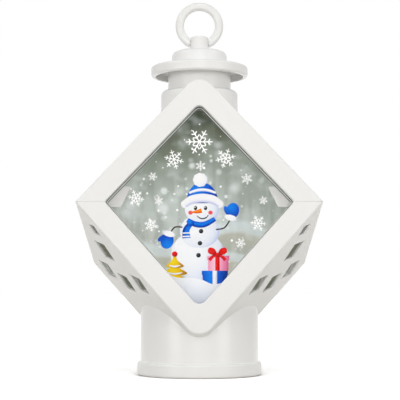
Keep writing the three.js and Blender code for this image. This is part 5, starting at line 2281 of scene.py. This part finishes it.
@dataclass
class Snowfall:
    """Printed snow crystals in set places, and small flakes strewn between them."""

    window: Window
    crystals: tuple[tuple[float, float, float, float], ...] = (
        (0.0, 82.4, 4.7, 0),
        (-8.9, 76.2, 3.5, 14),
        (9.2, 76.6, 3.6, -12),
        (0.4, 73.9, 1.9, 30),
        (-16.4, 70.2, 1.7, 8),
        (16.6, 69.4, 2.1, 22),
        (-22.2, 62.6, 3.0, 10),
        (-14.2, 61.6, 1.7, 28),
        (-17.0, 53.2, 2.4, 18),
        (22.4, 61.8, 1.6, 16),
        (20.6, 53.8, 2.9, 5),
        (14.4, 46.8, 1.9, 11),
    )
    arm_width: float = 0.078
    seed: int = 7
    flake_density: float = 60000.0
    flake_small: float = 0.1
    flake_large: float = 0.42
    flake_gap: float = 1.1
    flake_sides: int = 12
    smallness: float = 2.2
    field_reach: tuple[float, float, float] = (30.0, 61.0, 32.0)
    depth: float = 0.016
    back: float = 17.88

    def crystal(self, sheet: GeometryTree, width: Socket, depth: Socket) -> Socket:
        """A six-armed crystal of radius 1 whose arms carry two pairs of side twigs.

        Args:
            sheet: The tree it is laid out in.
            width: The socket with the arms' width.
            depth: The socket with the ink's depth.

        Returns:
            The socket with the crystal.
        """
        bars = []
        for start, length, lean in ((0, 1.0, 0), (0.34, 0.3, 60), (0.66, 0.26, 60)):
            for side in (1, -1) if lean else (1,):
                bar = sheet.block(sheet.vector(length, depth, width), (length / 2, 0, 0))
                bars.append(sheet.moved(bar, (start, 0, 0), (0, radians(lean * side), 0)))
        arm = sheet.join(*bars)
        points = sheet.result("GeometryNodeMeshLine", {"Count": 6, "Offset": (0, 0, 0)}, mode="OFFSET")
        number = sheet.result("GeometryNodeInputIndex")
        turn = sheet.vector(y=sheet.maths("MULTIPLY", number, pi / 3))
        return sheet.result("GeometryNodeRealizeInstances", {0: sheet.copies(points, arm, Rotation=turn)})

    def seeds(self) -> Mesh:
        """The crystals' places, with their sizes and turns as attributes.

        Returns:
            A mesh of loose points.
        """
        mesh = bpy.data.meshes.new("crystal_places")
        level = -(self.back + self.depth / 2)
        mesh.from_pydata([(x * MM, level * MM, z * MM) for x, z, _, _ in self.crystals], [], [])
        for name, column, factor in (("size", 2, MM), ("turn", 3, pi / 180)):
            layer = mesh.attributes.new(name, "FLOAT", "POINT")
            layer.data.foreach_set("value", [row[column] * factor for row in self.crystals])
        return mesh

    def flakes(self, sheet: GeometryTree, depth: Socket) -> Socket:
        """Small round flakes strewn over the window.

        Args:
            sheet: The tree they are laid out in.
            depth: The socket with the ink's depth.

        Returns:
            The socket with the flakes.
        """
        density = sheet.given("Flake density", self.flake_density)
        seed = sheet.given("Seed", self.seed, "NodeSocketInt")
        wide, middle, high = self.field_reach
        ground = sheet.result("GeometryNodeMeshCircle", {"Vertices": 4, "Radius": 1.0}, fill_type="NGON")
        level = -(self.back + self.depth / 2)
        scale = (wide * MM, high * MM, 1)
        ground = sheet.moved(ground, (0, level * MM, middle * MM), (QUARTER_TURN, 0, 0), scale)
        inputs = {"Mesh": ground, "Distance Min": self.flake_gap * MM, "Density Max": density, "Seed": seed}
        strewn = sheet.result("GeometryNodeDistributePointsOnFaces", inputs, distribute_method="POISSON")
        inputs = {"Vertices": self.flake_sides, "Radius": 1.0, "Depth": depth}
        flake = sheet.moved(sheet.result("GeometryNodeMeshCylinder", inputs), ORIGIN, (QUARTER_TURN, 0, 0))
        chance = sheet.add("FunctionNodeRandomValue", {2: 0.0, 3: 1.0, "Seed": seed}, data_type="FLOAT")
        shrunk = sheet.maths("POWER", chance.outputs[1], self.smallness)
        small, large = self.flake_small * MM, self.flake_large * MM
        size = sheet.maths("MULTIPLY_ADD", shrunk, large - small, small)
        return sheet.copies(strewn, flake, Scale=sheet.vector(size, 1.0, size))

    def build(self) -> None:
        """Prints the snowfall behind its window."""
        name = f"{self.window.name.lower()}_snowfall"
        sheet = GeometryTree(name)
        width = sheet.given("Arm width", self.arm_width)
        depth = sheet.given("Ink depth", self.depth * MM)
        crystal = self.crystal(sheet, width, depth)
        size, turn = (
            sheet.result("GeometryNodeInputNamedAttribute", {"Name": kind}, data_type="FLOAT")
            for kind in ("size", "turn")
        )
        scale = sheet.vector(size, 1.0, size)
        placed = sheet.copies(sheet.entry.outputs[0], crystal, Rotation=sheet.vector(y=turn), Scale=scale)
        whole = sheet.join(placed, self.flakes(sheet, depth))
        whole = sheet.moved(whole, ORIGIN, (0, 0, radians(self.window.value)))
        piece = sheet.grow(f"{name}_print", whole, Ink.CRYSTAL.value, self.seeds())
        join_model(piece, slot=Slot.PICTURE)


@dataclass(frozen=True)
class SoftLamp:
    """A square soft lamp that is turned to the lantern (mm, W)."""

    place: tuple[float, float, float]
    size: float
    power: float
    gloss_only: bool = False


@dataclass
class Studio:
    """Camera, floor, white surround and soft lamps."""

    camera_place: tuple[float, float, float] = (0.22, -450.9, 32.7)
    camera_tilt: float = 3.8617
    view_width: float = 18.3263
    world_light: float = 0.5
    floor_half: float = 3000.0
    floor_colour: Colour = tone("d0cbc1")
    floor_gain: float = 1.9
    floor_glow: float = 0.3
    glow_start: float = 26.0
    glow_end: float = 110.0
    shadow_reach: float = 7.0
    shadow_depth: float = 0.75
    shadow_samples: int = 8
    sensor_width: float = 36.0
    near_limit: float = 0.01
    lamps: tuple[SoftLamp, ...] = (
        SoftLamp((0, -760, 60), 480, 1.15),
        SoftLamp((-560, -520, 60), 300, 1.3),
        SoftLamp((560, -520, 60), 300, 1.3),
        SoftLamp((0, -420, 620), 240, 0.8),
        SoftLamp((-400, -150, 440), 300, 0.45, gloss_only=True),
        SoftLamp((400, -150, 440), 300, 0.45, gloss_only=True),
    )
    target: tuple[float, float, float] = (0, 0, 65)

    def camera(self) -> None:
        """Sets the camera where the photograph was taken from."""
        lens = bpy.data.cameras.new("camera")
        configured(lens, sensor_fit="HORIZONTAL", sensor_width=self.sensor_width, clip_start=self.near_limit)
        lens.lens = lens.sensor_width / 2 / tan(radians(self.view_width / 2))
        camera = bpy.data.objects.new("camera", lens)
        bpy.context.scene.collection.objects.link(camera)
        camera.location = [c * MM for c in self.camera_place]
        camera.rotation_euler = (radians(90 + self.camera_tilt), 0, 0)
        bpy.context.scene.camera = camera

    def seen_directly(self, sheet: NodeSheet) -> Socket:
        """Whether a ray comes from the camera, from a gloss or through glass.

        Args:
            sheet: The sheet to lay it out on.

        Returns:
            The socket that is 1 for such a ray.
        """
        path = sheet.add("ShaderNodeLightPath").outputs
        seen = sheet.maths("MAXIMUM", path["Is Camera Ray"], path["Is Glossy Ray"])
        return sheet.maths("MAXIMUM", seen, path["Is Transmission Ray"])

    def surround(self) -> None:
        """A white surround that lights the object softly."""
        world = bpy.data.worlds.new("surround")
        sheet = NodeSheet.fresh(world)
        seen = self.seen_directly(sheet)
        strength = sheet.maths("MULTIPLY_ADD", seen, 1.0 - self.world_light, self.world_light)
        light = sheet.add("ShaderNodeBackground", {"Color": (1, 1, 1), "Strength": strength})
        sheet.add("ShaderNodeOutputWorld", {"Surface": light.outputs[0]})
        bpy.context.scene.world = world

    def floor(self) -> None:
        """A pale floor that shows white where no shadow falls."""
        mesh = bpy.data.meshes.new("floor")
        half = self.floor_half * MM
        corners = [(-half, -half, 0), (half, -half, 0), (half, half, 0), (-half, half, 0)]
        mesh.from_pydata(corners, [], [(0, 1, 2, 3)])
        floor = plain_object("floor", mesh)
        material = bpy.data.materials.new("floor_paper")
        sheet = NodeSheet.fresh(material)
        seen = self.seen_directly(sheet)
        inputs = {"Distance": self.shadow_reach * MM}
        shade = sheet.add("ShaderNodeAmbientOcclusion", inputs, samples=self.shadow_samples)
        gain, depth = self.floor_gain, self.shadow_depth
        white = sheet.maths("MULTIPLY_ADD", shade.outputs["AO"], gain * depth, gain * (1 - depth))
        bright = sheet.result("ShaderNodeCombineColor", {0: white, 1: white, 2: white})
        paper = sheet.add("ShaderNodeBsdfDiffuse", {"Color": sheet.blend(seen, self.floor_colour, bright)})
        away = sheet.add("ShaderNodeVectorMath", {0: sheet.place()}, operation="LENGTH").outputs["Value"]
        lift = sheet.spread(away, self.glow_start, self.glow_end, 0, self.floor_glow)
        lift = sheet.maths("MULTIPLY", seen, lift)
        glow = sheet.add("ShaderNodeEmission", {"Color": (1, 1, 1), "Strength": lift})
        both = sheet.add("ShaderNodeAddShader", {0: paper.outputs[0], 1: glow.outputs[0]})
        sheet.add("ShaderNodeOutputMaterial", {"Surface": both.outputs[0]})
        mesh.materials.append(material)

    def soft_lamps(self) -> None:
        """Large soft lamps in front of the object."""
        target = Vector(self.target)
        for number, plan in enumerate(self.lamps):
            light = bpy.data.lights.new(f"softbox_{number + 1}", "AREA")
            configured(light, size=plan.size * MM, energy=plan.power)
            lamp = bpy.data.objects.new(light.name, light)
            bpy.context.scene.collection.objects.link(lamp)
            lamp.location = Vector(plan.place) * MM
            lamp.rotation_euler = (target - Vector(plan.place)).to_track_quat("-Z", "Y").to_euler()
            lamp.visible_diffuse = not plan.gloss_only

    def build(self) -> None:
        """Sets up the whole studio."""
        bpy.context.scene.view_settings.view_transform = "Standard"
        self.camera()
        self.surround()
        self.floor()
        self.soft_lamps()
        log.info("studio set up")


def main() -> None:
    """Builds the lantern's looks in order."""
    logging.basicConfig(level=logging.INFO, format="%(name)s: %(message)s")
    Studio().build()
    Shells().build()
    Cap().build()
    Ring().build()
    Base().build()
    LightBoard().build()
    for window in Window:
        # painted shade and highlight along the window's edges
        PaintedEdgeShading(window, DiamondBody()).build()
        Snowfall(window).build()
        Snowman(window).build()
        Lowland(window).build()


if __name__ == "__main__":
    main()
